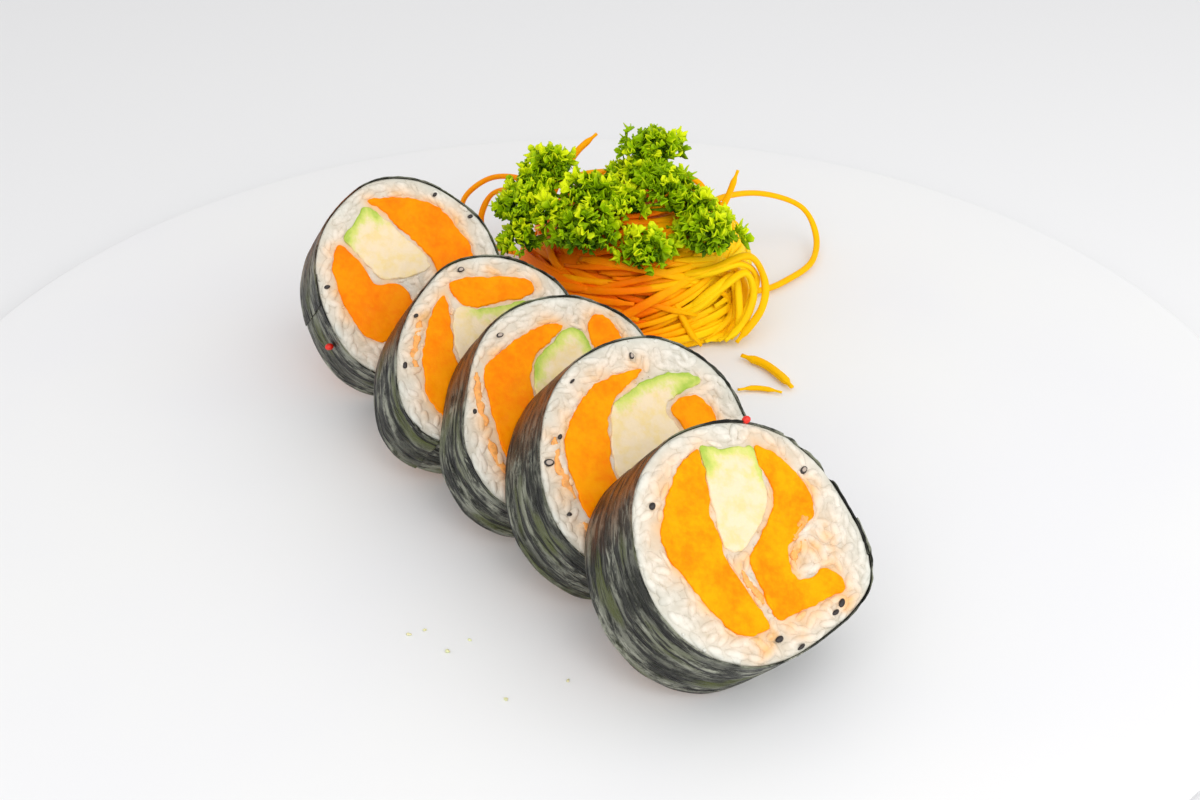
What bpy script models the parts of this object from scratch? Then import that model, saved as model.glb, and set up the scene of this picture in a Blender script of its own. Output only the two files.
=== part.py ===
"""Sweet potato maki on its plate: five slices of a thick roll, leaning in a row, with a carrot nest.

Axes: +X to the viewer's right, +Y away from the viewer, +Z up. The origin is the centre of the
plate's underside. Each slice is modelled in the frame of its own cut face, x to the right, y up the
face and +z out of it, and an empty stands it on the plate. All lengths are metres.
"""

import math
import random
from dataclasses import dataclass

import bmesh
import bpy
import numpy as np
from mathutils import Matrix, Vector
from mathutils.bvhtree import BVHTree

MM = 0.001
GAP = 0.3 * MM
CLEARANCE = 0.45 * MM

PLATE_RADIUS = 176 * MM
PLATE_WELL_RADIUS = 148 * MM
PLATE_FOOT_RADIUS = 105 * MM
PLATE_FOOT_SLOPE = (6 * MM, 1.6 * MM)
PLATE_TOP = 6 * MM
PLATE_RIM_HEIGHT = 7 * MM
PLATE_RIM_THICKNESS = 3.4 * MM
PLATE_STEPS = 48

OUTLINE_STEP = 5 * MM
FILLING_STEP = 3.2 * MM
NORI_THICKNESS = 0.5 * MM
NORI_PROUD = 0.2 * MM
NORI_LAP = 8 * MM
NORI_RAMP = 12 * MM

RICE_GRAIN = 4.3 * MM
RICE_BUMP = 0.4 * MM
CURVE_SAMPLES = 24
SLAB_RADIUS = 32 * MM
CUT_MARGIN = 5 * MM
FILLING_PROUD = 0.1 * MM
SEED_SIZE = (1.5 * MM, 0.9 * MM, 0.6 * MM)
SEED_HEIGHT = 0.1 * MM

STRAND_RADIUS = 1.0 * MM
STRAND_STEP = 4.6 * MM
STRAND_LIFT = 0.35 * MM
STRAND_TURNS = 12
NEST_CENTRE = Vector((13 * MM, 68 * MM, PLATE_TOP))
NEST_RADII = (33 * MM, 35 * MM, 34 * MM)
NEST_CORE = 0.94
LEAF_THICKNESS = 0.5 * MM
LEAF_LOBES = 0.18
LEAF_RUFFLE = 0.30
LEAF_CUP = 0.25


@dataclass(frozen=True)
class Slice:
    """One cut slice of the roll; its outlines are points in millimetres in the frame of its face."""

    name: str
    x: float
    y: float
    yaw: float
    lean: float
    thickness: float
    seam: float
    outline: tuple
    fillings: dict
    seeds: tuple


SLICES = (
    Slice(
        name="slice_1", x=33.8, y=-95.7, yaw=37, lean=50, thickness=23.5, seam=334,
        outline=((26, 0), (24.4, 9.5), (20, 18.2), (12, 24.4), (3, 27), (-6, 27), (-14, 24), (-20.5, 18.2),
                 (-25, 9.5), (-26.7, 0), (-25.2, -8.5), (-20.5, -16), (-13, -21.4), (-4, -23.3),
                 (6, -22.6), (15, -20.8), (22, -17), (25.8, -9)),
        fillings={
            "potato_1_left": ((-0.5, 22.5), (-5, 21.3), (-10, 18.5), (-15, 13.5), (-18.3, 8), (-17.5, 0),
                              (-15, -10), (-12, -14.5), (-8, -15.8), (-5.3, -14.5), (-6.5, -5), (-7, 0),
                              (-6, 5), (-4.5, 11), (-2, 17)),
            "potato_1_right": ((12.5, 18.3), (16, 14.5), (18.5, 8), (18, 3), (16.5, 0), (12, -1), (8, -3),
                               (5.8, -6), (5.8, -9.5), (9, -10.5), (13, -10.3), (15.3, -13), (14.6, -16),
                               (8, -15.9), (0, -15.7), (-2.9, -14.6), (-3, -8), (-2, -2), (5, 2.5),
                               (9.5, 6), (10.9, 10), (10.9, 15)),
            "avocado_1": ((0.3, 22.8), (5, 20.5), (9, 19.6), (11.6, 17.6), (10, 11), (8, 6.5), (3, 3),
                          (-3, 0), (-6, 2.5), (-5, 8), (-3, 14), (-1.5, 19)),
        },
        seeds=((19.8, 9.5), (11, -18.8), (-5, -18.6), (-16.4, 16), (-3, -20.6), (12.4, 21.6)),
    ),
    Slice(
        name="slice_2", x=14.3, y=-62.4, yaw=37, lean=48, thickness=20, seam=250,
        outline=((27.3, 2), (26.6, 10), (22.8, 17.8), (15.7, 24.2), (7, 26.8), (-2, 26.8), (-10, 24.8),
                 (-17.2, 20), (-22.8, 13.5), (-27, 5.5), (-28.8, -3), (-27, -12), (-21.7, -19.6),
                 (-13, -24), (-3, -25.2), (8, -24.8), (18, -21.2), (25, -11)),
        fillings={
            "potato_2_left": ((8, 18.6), (2, 19.8), (-3, 19.5), (-8, 18), (-13, 15), (-17, 11), (-19.5, 5),
                              (-20.5, -5), (-18, -13), (-12, -16.5), (-8.6, -13.5), (-9.4, -7), (-10.3, 0),
                              (-8.5, 5), (-6, 10), (-3, 14), (3, 16.4)),
            "potato_2_right": ((10, 8), (13, 9.2), (17, 9), (19, 7), (19.5, 2), (18, -6), (14, -12),
                               (6, -15.3), (-2, -15.2), (-4, -11), (2, -7), (8, -4), (11, 0), (10.6, 4)),
            "avocado_2": ((-2.4, 13.8), (4, 15.4), (9, 16), (15, 15.2), (20, 13), (20, 10.6), (13, 10.4),
                          (8.8, 8), (9.2, 2), (5, -4), (-3, -6.5), (-9.4, -3), (-8.6, 3.6), (-5.4, 10)),
        },
        seeds=((-23.4, 7.5), (-9.5, 21.8), (7, 22.6), (-24.6, -4.3)),
    ),
    Slice(
        name="slice_3", x=-4.9, y=-37.0, yaw=37, lean=49, thickness=16.4, seam=225,
        outline=((28.2, 3), (27.5, 10.5), (23.3, 17.2), (16.2, 23), (8, 25.6), (-1, 25.8), (-9, 23.5),
                 (-16.2, 18.2), (-22.2, 10.6), (-27, 3), (-28.8, -4), (-27.7, -13), (-22.2, -20.2),
                 (-13, -24.5), (-3, -25.5), (8, -24.7), (18, -20.7), (25.7, -10)),
        fillings={
            "potato_3_left": ((9, 17.4), (5, 19.2), (0, 19), (-10, 16.6), (-15, 14.3), (-16.6, 10), (-18, 4),
                              (-19.7, -2), (-19, -10), (-13, -15.6), (-8.4, -12.5), (-8, -4), (-7, 4),
                              (-4, 10), (-1, 13.2), (4, 15)),
            "potato_3_right": ((14.6, 14), (17, 17), (20.5, 16), (22, 11), (20, 4), (16, -4), (10, -12),
                               (2, -15.3), (-3, -12.5), (2, -7.5), (9, -3), (14, 4), (14, 10)),
            "avocado_3": ((8.8, 16.4), (12, 15.4), (13, 10), (12, 4), (6.5, -2.5), (-1, -6), (-6.6, -2),
                          (-5.8, 5), (-3, 10.5), (1, 13.2), (5, 14.6)),
        },
        seeds=((-7.5, 20.4), (-22, 6)),
    ),
    Slice(
        name="slice_4", x=-23, y=-15, yaw=36, lean=49, thickness=19, seam=200,
        outline=((26.5, 2), (25.6, 10), (21.2, 16.7), (14.2, 22), (6, 24.4), (-2, 24), (-10, 20.2),
                 (-17.2, 15), (-22.7, 8.6), (-26.3, 1.5), (-28, -6), (-26.2, -13.4), (-20.5, -19),
                 (-12, -22.6), (-2, -23.6), (8, -22.6), (17.5, -19), (24.7, -10)),
        fillings={
            "potato_4_top": ((-2.4, 19.4), (3, 19.6), (8, 18), (13, 16.5), (17, 14.5), (18.5, 12), (16.5, 10),
                             (10, 10.5), (2, 11.5), (-2, 14)),
            "potato_4_left": ((-5, 17), (-10, 14), (-15, 8), (-18, 3), (-20.5, -5), (-18, -13.5), (-12, -16.5),
                              (-8.6, -12), (-9.6, -4), (-9.4, 3), (-7, 9)),
            "avocado_4": ((-6.5, 9.5), (-2.6, 12.8), (2, 10.8), (9, 9.8), (15, 8.6), (15.6, 2), (9, -5),
                          (0, -8), (-7.6, -5), (-8.6, 3)),
        },
        seeds=((-22.6, 3.8), (-14.4, 14.4), (2, 21.8)),
    ),
    Slice(
        name="slice_5", x=-46.3, y=15.5, yaw=26, lean=42, thickness=22, seam=170,
        outline=((25.2, 1), (23.6, 8.5), (19.2, 15.2), (12.2, 21.8), (4, 25), (-4, 24.8), (-12, 20.9),
                 (-18.7, 14.8), (-23, 6.5), (-24.4, -3), (-23, -12), (-19.7, -19.7), (-13, -25.7),
                 (-4, -27.5), (6, -26.5), (15, -22.5), (21.7, -14.7), (25, -7)),
        fillings={
            "potato_5_right": ((-4.6, 20), (0, 20.2), (5, 19), (10, 17), (14, 13), (17, 7), (18.5, 0),
                               (17, -8), (11, -13), (7.4, -8), (7.4, 0), (6, 4), (3, 9), (0, 13.6), (-2, 17)),
            "potato_5_left": ((-14.8, 10.3), (-12.5, 7), (-10.3, 2), (-8.6, -1.8), (-3, -3), (-1, -8.5),
                              (-6, -14.5), (-12, -16.5), (-17, -10.5), (-18.7, 0), (-18.2, 5), (-16.7, 9)),
            "avocado_5": ((-5.6, 18.6), (-8.4, 16.4), (-12.8, 12.8), (-13.2, 10.6), (-11, 6.6), (-8.8, 2),
                          (-6.6, -0.8), (-1, -1.6), (4, -1.4), (6.6, 0), (5, 4.4), (1.4, 9.6), (-1.6, 14.2)),
        },
        seeds=((13, 18), (20.6, 10.4), (-21.3, 0.3)),
    ),
)

# Control points of the strands that stand out of the nest, in millimetres from the plate's centre.
FREE_STRANDS = {
    "loop_right": ((32, 76, 26), (38, 82, 29.4), (51, 92, 26.2), (64, 97, 19.4), (69, 95, 10.9), (66.5, 82, 8.4),
                   (58, 71, 8.2), (50, 65, 8.2), (38, 60, 10)),
    "loop_front": ((16, 46, 20), (26, 37, 22), (36, 35, 23), (46, 38, 24), (51.5, 43, 20), (48, 41, 13.5),
                   (43, 36, 8.6)),
    "loop_low": ((18, 42, 14), (27, 37, 15), (35, 34.5, 17), (41, 35, 18.5), (44, 38, 15.5), (42.5, 38, 11),
                 (37, 36, 8.6)),
    "strand_down": ((18, 50, 28), (20.6, 44, 26.8), (23.9, 40, 19), (27.8, 36, 11.8), (31, 33.5, 8.2)),
    "loop_left": ((-12, 82, 26), (-18.6, 86, 33), (-29, 92, 31.4), (-37.6, 94, 24), (-39, 96, 14),
                  (-34, 95, 8.4), (-16, 84, 8.6)),
    "loop_back": ((-10, 84, 24), (-4.4, 87, 33.7), (8.9, 90, 34.5), (20.8, 91, 34), (32.5, 87, 31.7),
                  (36, 80, 22)),
    "tip_left": ((-13, 73, 24), (-10.5, 78, 33), (-6.8, 82, 39), (-3.4, 85, 43.3), (2.1, 88, 47.3)),
    "tip_right": ((32, 72, 22), (39, 77, 30), (43, 81, 39)),
}

# Loose strands on the plate: control points in millimetres and the radius of each.
LOOSE_STRANDS = {
    "carrot_curl_thick": (((41.8, 29.6), (47.5, 25.2), (51.5, 19), (54, 13.4)), 1.3 * MM),
    "carrot_curl_thin": (((39.6, 12.9), (44, 13.8), (48, 13), (51.2, 11.6)), 0.8 * MM),
}

# Each parsley clump: centre in millimetres, radius, the way it faces (azimuth and elevation in
# degrees) and the number of its ruffles.
PARSLEY = {
    "parsley_top": ((18.5, 70, 50), 10.5, 15, 30, 5),
    "parsley_under": ((20.5, 56, 45), 10, 10, 50, 5),
    "parsley_crest": ((-11.5, 68, 46), 9, -15, 35, 5),
    "parsley_left": ((-20, 56, 37), 12, -20, 35, 5),
    "parsley_middle": ((0, 47, 40), 11, -5, 45, 5),
    "parsley_inner": ((15, 42, 37), 9.5, 5, 45, 5),
    "parsley_right": ((32, 46, 37), 12, 25, 40, 5),
}
PARSLEY_FORK = (8, 55, 43)
PARSLEY_BEND = (14, 63, 47)
STEM_RISE = 2 * MM
STEM_RADIUS = 0.9 * MM


def clear_scene():
    """Remove every object that the scene starts with."""
    for item in list(bpy.data.objects):
        bpy.data.objects.remove(item)


def material(name, colour, roughness, metallic=0.0):
    """A plain Principled material."""
    result = bpy.data.materials.new(name)
    result.use_nodes = True
    shader = result.node_tree.nodes["Principled BSDF"]
    shader.inputs["Base Color"].default_value = (*colour, 1)
    shader.inputs["Roughness"].default_value = roughness
    shader.inputs["Metallic"].default_value = metallic
    return result


def link(item, group):
    """Put an object in one collection only."""
    for owner in list(item.users_collection):
        owner.objects.unlink(item)
    group.objects.link(item)
    return item


def smooth_curve(points, step, closed):
    """Points a set distance apart along a Catmull-Rom curve through the given points."""
    knots = np.array(points, float)
    if closed:
        knots = np.vstack([knots[-1:], knots, knots[:2]])
    else:
        knots = np.vstack([2 * knots[0] - knots[1], knots, 2 * knots[-1] - knots[-2]])
    t = np.linspace(0, 1, CURVE_SAMPLES, endpoint=False)[:, None]
    spans = []
    for before, start, end, after in zip(knots, knots[1:], knots[2:], knots[3:]):
        spans.append(0.5 * (2 * start + (end - before) * t
                            + (2 * before - 5 * start + 4 * end - after) * t ** 2
                            + (3 * start - before - 3 * end + after) * t ** 3))
    dense = np.vstack(spans + [knots[-2:-1]])
    length = np.concatenate([[0], np.cumsum(np.linalg.norm(np.diff(dense, axis=0), axis=1))])
    count = max(3, round(length[-1] / step))
    marks = np.linspace(0, length[-1], count + 1)
    even = np.stack([np.interp(marks, length, dense[:, axis]) for axis in range(dense.shape[1])], axis=1)
    return even[:-1] if closed else even


def run_length(loop):
    """The distance along a closed loop from its first point to each of its points."""
    steps = np.linalg.norm(np.diff(loop, axis=0), axis=1)
    return np.concatenate([[0], np.cumsum(steps)])


def offset_loop(loop, distances):
    """A closed flat loop moved outwards by a distance at each point, inwards where it is negative."""
    tangent = np.roll(loop, -1, axis=0) - np.roll(loop, 1, axis=0)
    outward = np.stack([tangent[:, 1], -tangent[:, 0]], axis=1)
    outward /= np.linalg.norm(outward, axis=1)[:, None]
    area = np.sum(loop[:, 0] * np.roll(loop[:, 1], -1) - loop[:, 1] * np.roll(loop[:, 0], -1))
    return loop + outward * math.copysign(1, area) * np.broadcast_to(distances, len(loop))[:, None]


def curve_mesh(curve):
    """The closed mesh of a curve's data, with its caps welded on."""
    holder = bpy.data.objects.new("outline", curve)
    bpy.context.scene.collection.objects.link(holder)
    graph = bpy.context.evaluated_depsgraph_get()
    mesh = bpy.data.meshes.new_from_object(holder.evaluated_get(graph))
    bpy.data.objects.remove(holder)
    bpy.data.curves.remove(curve)
    shape = bmesh.new()
    shape.from_mesh(mesh)
    bmesh.ops.remove_doubles(shape, verts=shape.verts, dist=0.00001)
    bmesh.ops.recalc_face_normals(shape, faces=shape.faces)
    shape.to_mesh(mesh)
    shape.free()
    return mesh


def prism(name, loop, front, back, group):
    """A solid with a flat outline, from a front to a back height along z."""
    curve = bpy.data.curves.new(name, "CURVE")
    curve.dimensions = "2D"
    curve.fill_mode = "BOTH"
    curve.extrude = (front - back) / 2
    spline = curve.splines.new("POLY")
    spline.points.add(len(loop) - 1)
    for point, (x, y) in zip(spline.points, loop):
        point.co = (x, y, 0, 1)
    spline.use_cyclic_u = True
    mesh = curve_mesh(curve)
    mesh.transform(Matrix.Translation((0, 0, (front + back) / 2)))
    item = bpy.data.objects.new(name, mesh)
    group.objects.link(item)
    return item


def tube(name, points, radius, group):
    """A square shred along a line of points, with closed ends."""
    curve = bpy.data.curves.new(name, "CURVE")
    curve.dimensions = "3D"
    curve.bevel_depth = radius
    curve.bevel_resolution = 0
    curve.use_fill_caps = True
    spline = curve.splines.new("POLY")
    spline.points.add(len(points) - 1)
    for point, place in zip(spline.points, points):
        point.co = (*place, 1)
    item = bpy.data.objects.new(name, curve_mesh(curve))
    group.objects.link(item)
    return item


def join(item, operation, other, solver="EXACT"):
    """Apply one Boolean with an object or a whole collection."""
    cut = item.modifiers.new("cut", "BOOLEAN")
    cut.operation = operation
    cut.solver = solver
    if isinstance(other, bpy.types.Collection):
        cut.operand_type = "COLLECTION"
        cut.collection = other
    else:
        cut.object = other
    graph = bpy.context.evaluated_depsgraph_get()
    graph.update()
    mesh = bpy.data.meshes.new_from_object(item.evaluated_get(graph))
    item.modifiers.remove(cut)
    item.data = mesh


def keep_largest(item):
    """Drop the loose scraps that a cut leaves, so that the piece stays one body."""
    shape = bmesh.new()
    shape.from_mesh(item.data)
    left = set(shape.verts)
    bodies = []
    while left:
        body = set()
        front = [left.pop()]
        while front:
            vert = front.pop()
            body.add(vert)
            near = [edge.other_vert(vert) for edge in vert.link_edges]
            front.extend(other for other in near if other in left)
            left.difference_update(near)
        bodies.append(body)
    bodies.sort(key=len)
    scraps = [vert for body in bodies[:-1] for vert in body]
    bmesh.ops.delete(shape, geom=scraps, context="VERTS")
    shape.to_mesh(item.data)
    shape.free()


def drop(group):
    """Remove a collection and everything in it."""
    for item in list(group.objects):
        bpy.data.objects.remove(item)
    bpy.data.collections.remove(group)


def cutters(name):
    """A collection for shapes that only cut or join others."""
    group = bpy.data.collections.new(name)
    bpy.context.scene.collection.children.link(group)
    return group


def finish(item, paint, smooth_angle=math.radians(40)):
    """Give a piece its material and shade its round parts smooth."""
    item.data.materials.clear()
    item.data.materials.append(paint)
    item.data.shade_smooth()
    item.data.set_sharp_from_angle(angle=smooth_angle)


def plate_profile():
    """Radius and height along the plate's section, from the top's centre over the rim to the foot."""
    rim = PLATE_RIM_THICKNESS / 2
    out, up = PLATE_FOOT_SLOPE
    lip = [(PLATE_RADIUS - rim + rim * math.sin(a), PLATE_RIM_HEIGHT - rim + rim * math.cos(a))
           for a in np.linspace(0, math.pi, 4)]
    rise = []
    for part in np.linspace(0, 1, 4)[:-1]:
        radius = PLATE_WELL_RADIUS + part * (PLATE_RADIUS - rim - PLATE_WELL_RADIUS)
        rise.append((radius, PLATE_TOP + (PLATE_RIM_HEIGHT - PLATE_TOP) * part ** 2))
    return [(0, PLATE_TOP), *rise, *lip, (PLATE_FOOT_RADIUS + out, up), (PLATE_FOOT_RADIUS, 0), (0, 0)]


def make_plate(group, paint):
    """A plain round plate, nearly flat, turned from its section."""
    mesh = bpy.data.meshes.new("plate")
    section = [(radius, 0, height) for radius, height in plate_profile()]
    mesh.from_pydata(section, [(i, i + 1) for i in range(len(section) - 1)], [])
    plate = bpy.data.objects.new("plate", mesh)
    group.objects.link(plate)
    screw = plate.modifiers.new("turn", "SCREW")
    screw.steps = screw.render_steps = PLATE_STEPS
    screw.use_merge_vertices = True
    screw.merge_threshold = 0.00005
    mesh.materials.append(paint)
    return plate


def nori_insets(loop):
    """How far the sheet lies inside the outline along the loop: its first stretch is under its end."""
    fade = np.clip((run_length(loop) - NORI_LAP) / NORI_RAMP, 0, 1)
    return (NORI_THICKNESS + GAP) * (1 - fade)


def make_nori(piece, loop, frame, group, paint):
    """The seaweed sheet: an open strip rolled once round the rice and lapped over its own start."""
    under = offset_loop(loop, -nori_insets(loop))
    path = np.vstack([under, loop[run_length(loop) < NORI_LAP]])
    shape = bmesh.new()
    top = [shape.verts.new((x, y, NORI_PROUD)) for x, y in path]
    edges = [shape.edges.new(pair) for pair in zip(top, top[1:])]
    wall = bmesh.ops.extrude_edge_only(shape, edges=edges)["geom"]
    moved = [part for part in wall if isinstance(part, bmesh.types.BMVert)]
    bmesh.ops.translate(shape, verts=moved, vec=(0, 0, -piece.thickness * MM - NORI_PROUD))
    mesh = bpy.data.meshes.new("nori")
    shape.to_mesh(mesh)
    shape.free()
    nori = bpy.data.objects.new(f"nori_{piece.name[-1]}", mesh)
    group.objects.link(nori)
    shell = nori.modifiers.new("sheet", "SOLIDIFY")
    shell.thickness = NORI_THICKNESS
    shell.offset = 1
    shell.use_even_offset = True
    nori.parent = frame
    mesh.materials.append(paint)
    return nori


def rice_slab(name, radius, thickness, chance, group):
    """A square slab whose front is a grid of bumps as wide as a rice grain."""
    cells = round(2 * radius / RICE_GRAIN)
    shape = bmesh.new()
    bmesh.ops.create_grid(shape, x_segments=cells, y_segments=cells, size=radius)
    front = list(shape.verts)
    back = bmesh.ops.extrude_face_region(shape, geom=list(shape.faces))["geom"]
    low = [part for part in back if isinstance(part, bmesh.types.BMVert)]
    bmesh.ops.translate(shape, verts=low, vec=(0, 0, -thickness))
    lines = [edge for edge in shape.edges if all(vert in set(low) for vert in edge.verts)]
    for vert in front:
        vert.co.x += chance.uniform(-0.2, 0.2) * RICE_GRAIN
        vert.co.y += chance.uniform(-0.2, 0.2) * RICE_GRAIN
        vert.co.z += chance.uniform(-RICE_BUMP, RICE_BUMP)
    bmesh.ops.dissolve_limit(shape, angle_limit=0.01, verts=low, edges=lines)
    bmesh.ops.recalc_face_normals(shape, faces=shape.faces)
    mesh = bpy.data.meshes.new(name)
    shape.to_mesh(mesh)
    shape.free()
    slab = bpy.data.objects.new(name, mesh)
    group.objects.link(slab)
    return slab


def add_seed(place, turn, group):
    """One sesame seed, half sunk in the rice face."""
    shape = bmesh.new()
    bmesh.ops.create_icosphere(shape, subdivisions=1, radius=1)
    mesh = bpy.data.meshes.new("seed")
    bmesh.ops.scale(shape, vec=SEED_SIZE, verts=shape.verts)
    shape.to_mesh(mesh)
    shape.free()
    spin = Matrix.Rotation(turn, 4, "Z")
    mesh.transform(Matrix.Translation((place[0] * MM, place[1] * MM, SEED_HEIGHT)) @ spin)
    group.objects.link(bpy.data.objects.new("seed", mesh))


def make_rice(piece, loop, inset, frame, group, paint):
    """The rice round the fillings, bumpy on its cut face, with the seeds that lie on it."""
    chance = random.Random(piece.name)
    thickness = piece.thickness * MM
    rice = rice_slab(f"rice_{piece.name[-1]}", SLAB_RADIUS, thickness, chance, group)
    bound = cutters("bound")
    edge = offset_loop(loop, -inset - NORI_THICKNESS - GAP)
    join(rice, "INTERSECT", prism("bound", edge, CUT_MARGIN, -thickness - CUT_MARGIN, bound))
    drop(bound)
    holes = cutters("holes")
    for name, points in piece.fillings.items():
        wide = offset_loop(smooth_curve(np.array(points) * MM, FILLING_STEP, True), GAP)
        prism(name, wide, CUT_MARGIN, -thickness - CUT_MARGIN, holes)
    join(rice, "DIFFERENCE", holes)
    drop(holes)
    keep_largest(rice)
    seeds = cutters("seeds")
    for place in piece.seeds:
        add_seed(place, chance.uniform(0, math.pi), seeds)
    join(rice, "UNION", seeds)
    drop(seeds)
    rice.parent = frame
    finish(rice, paint)
    return rice


def make_fillings(piece, frame, group, paints):
    """Strips that run through the slice; each one is cut back from the strips before it."""
    thickness = piece.thickness * MM
    earlier = cutters("earlier")
    for name, points in piece.fillings.items():
        loop = smooth_curve(np.array(points) * MM, FILLING_STEP, True)
        strip = prism(name, loop, FILLING_PROUD, -thickness + FILLING_PROUD, group)
        if earlier.objects:
            join(strip, "DIFFERENCE", earlier)
            keep_largest(strip)
        prism(name + "_cut", offset_loop(loop, GAP), CUT_MARGIN, -thickness - CUT_MARGIN, earlier)
        strip.parent = frame
        finish(strip, paints[name.split("_")[0]])
    drop(earlier)


def slice_frame(piece, loop):
    """The empty at the centre of a slice's face, at the height where its lowest edge meets the plate."""
    lean = math.radians(piece.lean)
    thickness = piece.thickness * MM
    height = PLATE_TOP + CLEARANCE + thickness * math.sin(lean) - loop[:, 1].min() * math.cos(lean)
    frame = bpy.data.objects.new(piece.name, None)
    frame.location = (piece.x * MM, piece.y * MM, height)
    frame.rotation_euler = (math.pi / 2 - lean, 0, math.radians(piece.yaw))
    return frame


def make_slice(piece, group, paints):
    """One slice: sheet, rice and fillings, carried by its empty."""
    loop = smooth_curve(np.array(piece.outline) * MM, OUTLINE_STEP, True)
    frame = slice_frame(piece, loop)
    group.objects.link(frame)
    angle = np.degrees(np.arctan2(loop[:, 1], loop[:, 0])) % 360
    loop = np.roll(loop, -int(np.argmin(np.abs(angle - piece.seam))), axis=0)
    make_nori(piece, loop, frame, group, paints["nori"])
    make_rice(piece, loop, nori_insets(loop), frame, group, paints["rice"])
    make_fillings(piece, frame, group, paints)


def leaf_surface(radius, ruffles, turn, chance):
    """A ruffled round leaf as an open mesh: its height swings along the rim, more the further out."""
    around, rings = 4 * ruffles, 2
    shape = bmesh.new()
    centre = shape.verts.new((0, 0, 0))
    before = None
    for ring in range(1, rings + 1):
        out = ring / rings
        row = []
        for i in range(around):
            angle = 2 * math.pi * i / around
            reach = radius * out * (1 + LEAF_LOBES * math.sin(3 * angle + turn) + chance.uniform(-0.05, 0.05))
            height = radius * out ** 2 * (LEAF_RUFFLE * math.sin(ruffles * angle + turn) + LEAF_CUP)
            row.append(shape.verts.new((reach * math.cos(angle), reach * math.sin(angle), height)))
        for i in range(around):
            j = (i + 1) % around
            if before:
                shape.faces.new((before[i], row[i], row[j], before[j]))
            else:
                shape.faces.new((centre, row[i], row[j]))
        before = row
    bmesh.ops.triangulate(shape, faces=shape.faces)
    mesh = bpy.data.meshes.new("leaf")
    shape.to_mesh(mesh)
    shape.free()
    return mesh


def add_leaf(name, chance, group):
    """One clump of the sprig, placed and turned, as a thin closed mesh."""
    centre, radius, azimuth, elevation, ruffles = PARSLEY[name]
    leaf = bpy.data.objects.new(name, leaf_surface(radius * MM, ruffles, chance.uniform(0, 6), chance))
    bpy.context.scene.collection.objects.link(leaf)
    sheet = leaf.modifiers.new("sheet", "SOLIDIFY")
    sheet.thickness = LEAF_THICKNESS
    sheet.offset = 0
    graph = bpy.context.evaluated_depsgraph_get()
    graph.update()
    mesh = bpy.data.meshes.new_from_object(leaf.evaluated_get(graph))
    bpy.data.objects.remove(leaf)
    tip = Matrix.Rotation(math.radians(90 - elevation), 4, "X")
    turn = Matrix.Rotation(math.radians(azimuth), 4, "Z")
    mesh.transform(Matrix.Translation(Vector(centre) * MM) @ turn @ tip)
    group.objects.link(bpy.data.objects.new(name, mesh))


def make_parsley(group, paint):
    """The sprig of curly parsley on the nest: its clumps joined by stems that meet at one fork."""
    chance = random.Random(11)
    clumps = cutters("clumps")
    for name in PARSLEY:
        add_leaf(name, chance, clumps)
    names = list(PARSLEY)
    for name in names[1:]:
        fork, tip = Vector(PARSLEY_FORK) * MM, Vector(PARSLEY[name][0]) * MM
        line = (fork, (fork + tip) / 2 + Vector((0, 0, STEM_RISE)), tip)
        path = smooth_curve([tuple(point) for point in line], STRAND_STEP, False)
        tube(f"stem_{name}", path, STEM_RADIUS, clumps)
    line = (PARSLEY_FORK, PARSLEY_BEND, PARSLEY[names[0]][0])
    sprig = tube("parsley", smooth_curve(np.array(line) * MM, STRAND_STEP, False), STEM_RADIUS, group)
    join(sprig, "UNION", clumps)
    drop(clumps)
    keep_largest(sprig)
    finish(sprig, paint)
    return sprig


def world_tree(items):
    """One search tree over the evaluated world-space meshes of several objects."""
    graph = bpy.context.evaluated_depsgraph_get()
    graph.update()
    shape = bmesh.new()
    for item in items:
        mesh = bpy.data.meshes.new_from_object(item.evaluated_get(graph))
        mesh.transform(item.matrix_world)
        shape.from_mesh(mesh)
        bpy.data.meshes.remove(mesh)
    bmesh.ops.triangulate(shape, faces=shape.faces)
    tree = BVHTree.FromBMesh(shape)
    shape.free()
    return tree


def is_clear(points, radius, tree):
    """Whether a strand of this radius stays clear of everything in the tree and above the plate."""
    corner = radius * math.sqrt(2)
    if min(point[2] for point in points) < PLATE_TOP + radius + CLEARANCE:
        return False
    for point in points:
        if tree.find_nearest(Vector(point), corner + STRAND_STEP / 2)[0] is not None:
            return False
    return True


def coiled_strand(chance):
    """A strand that winds part of the way round the nest at its own height and tilt."""
    start = chance.uniform(0, 2 * math.pi)
    turn = chance.uniform(0.35, 0.85) * 2 * math.pi
    level = chance.uniform(0.05, 0.85)
    tilt = chance.uniform(-0.35, 0.35)
    swell = chance.uniform(0.98, 1.12)
    points = []
    for part in np.linspace(0, 1, 9):
        angle = start + turn * part
        rise = min(max(level + tilt * math.sin(angle * 1.3 + start), 0.03), 0.97)
        ring = math.sqrt(1 - rise ** 2) * swell
        points.append(Vector((NEST_RADII[0] * ring * math.cos(angle), NEST_RADII[1] * ring * math.sin(angle),
                              NEST_RADII[2] * rise * swell + STRAND_RADIUS)) + NEST_CENTRE)
    return smooth_curve([tuple(point) for point in points], STRAND_STEP, False)


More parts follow.
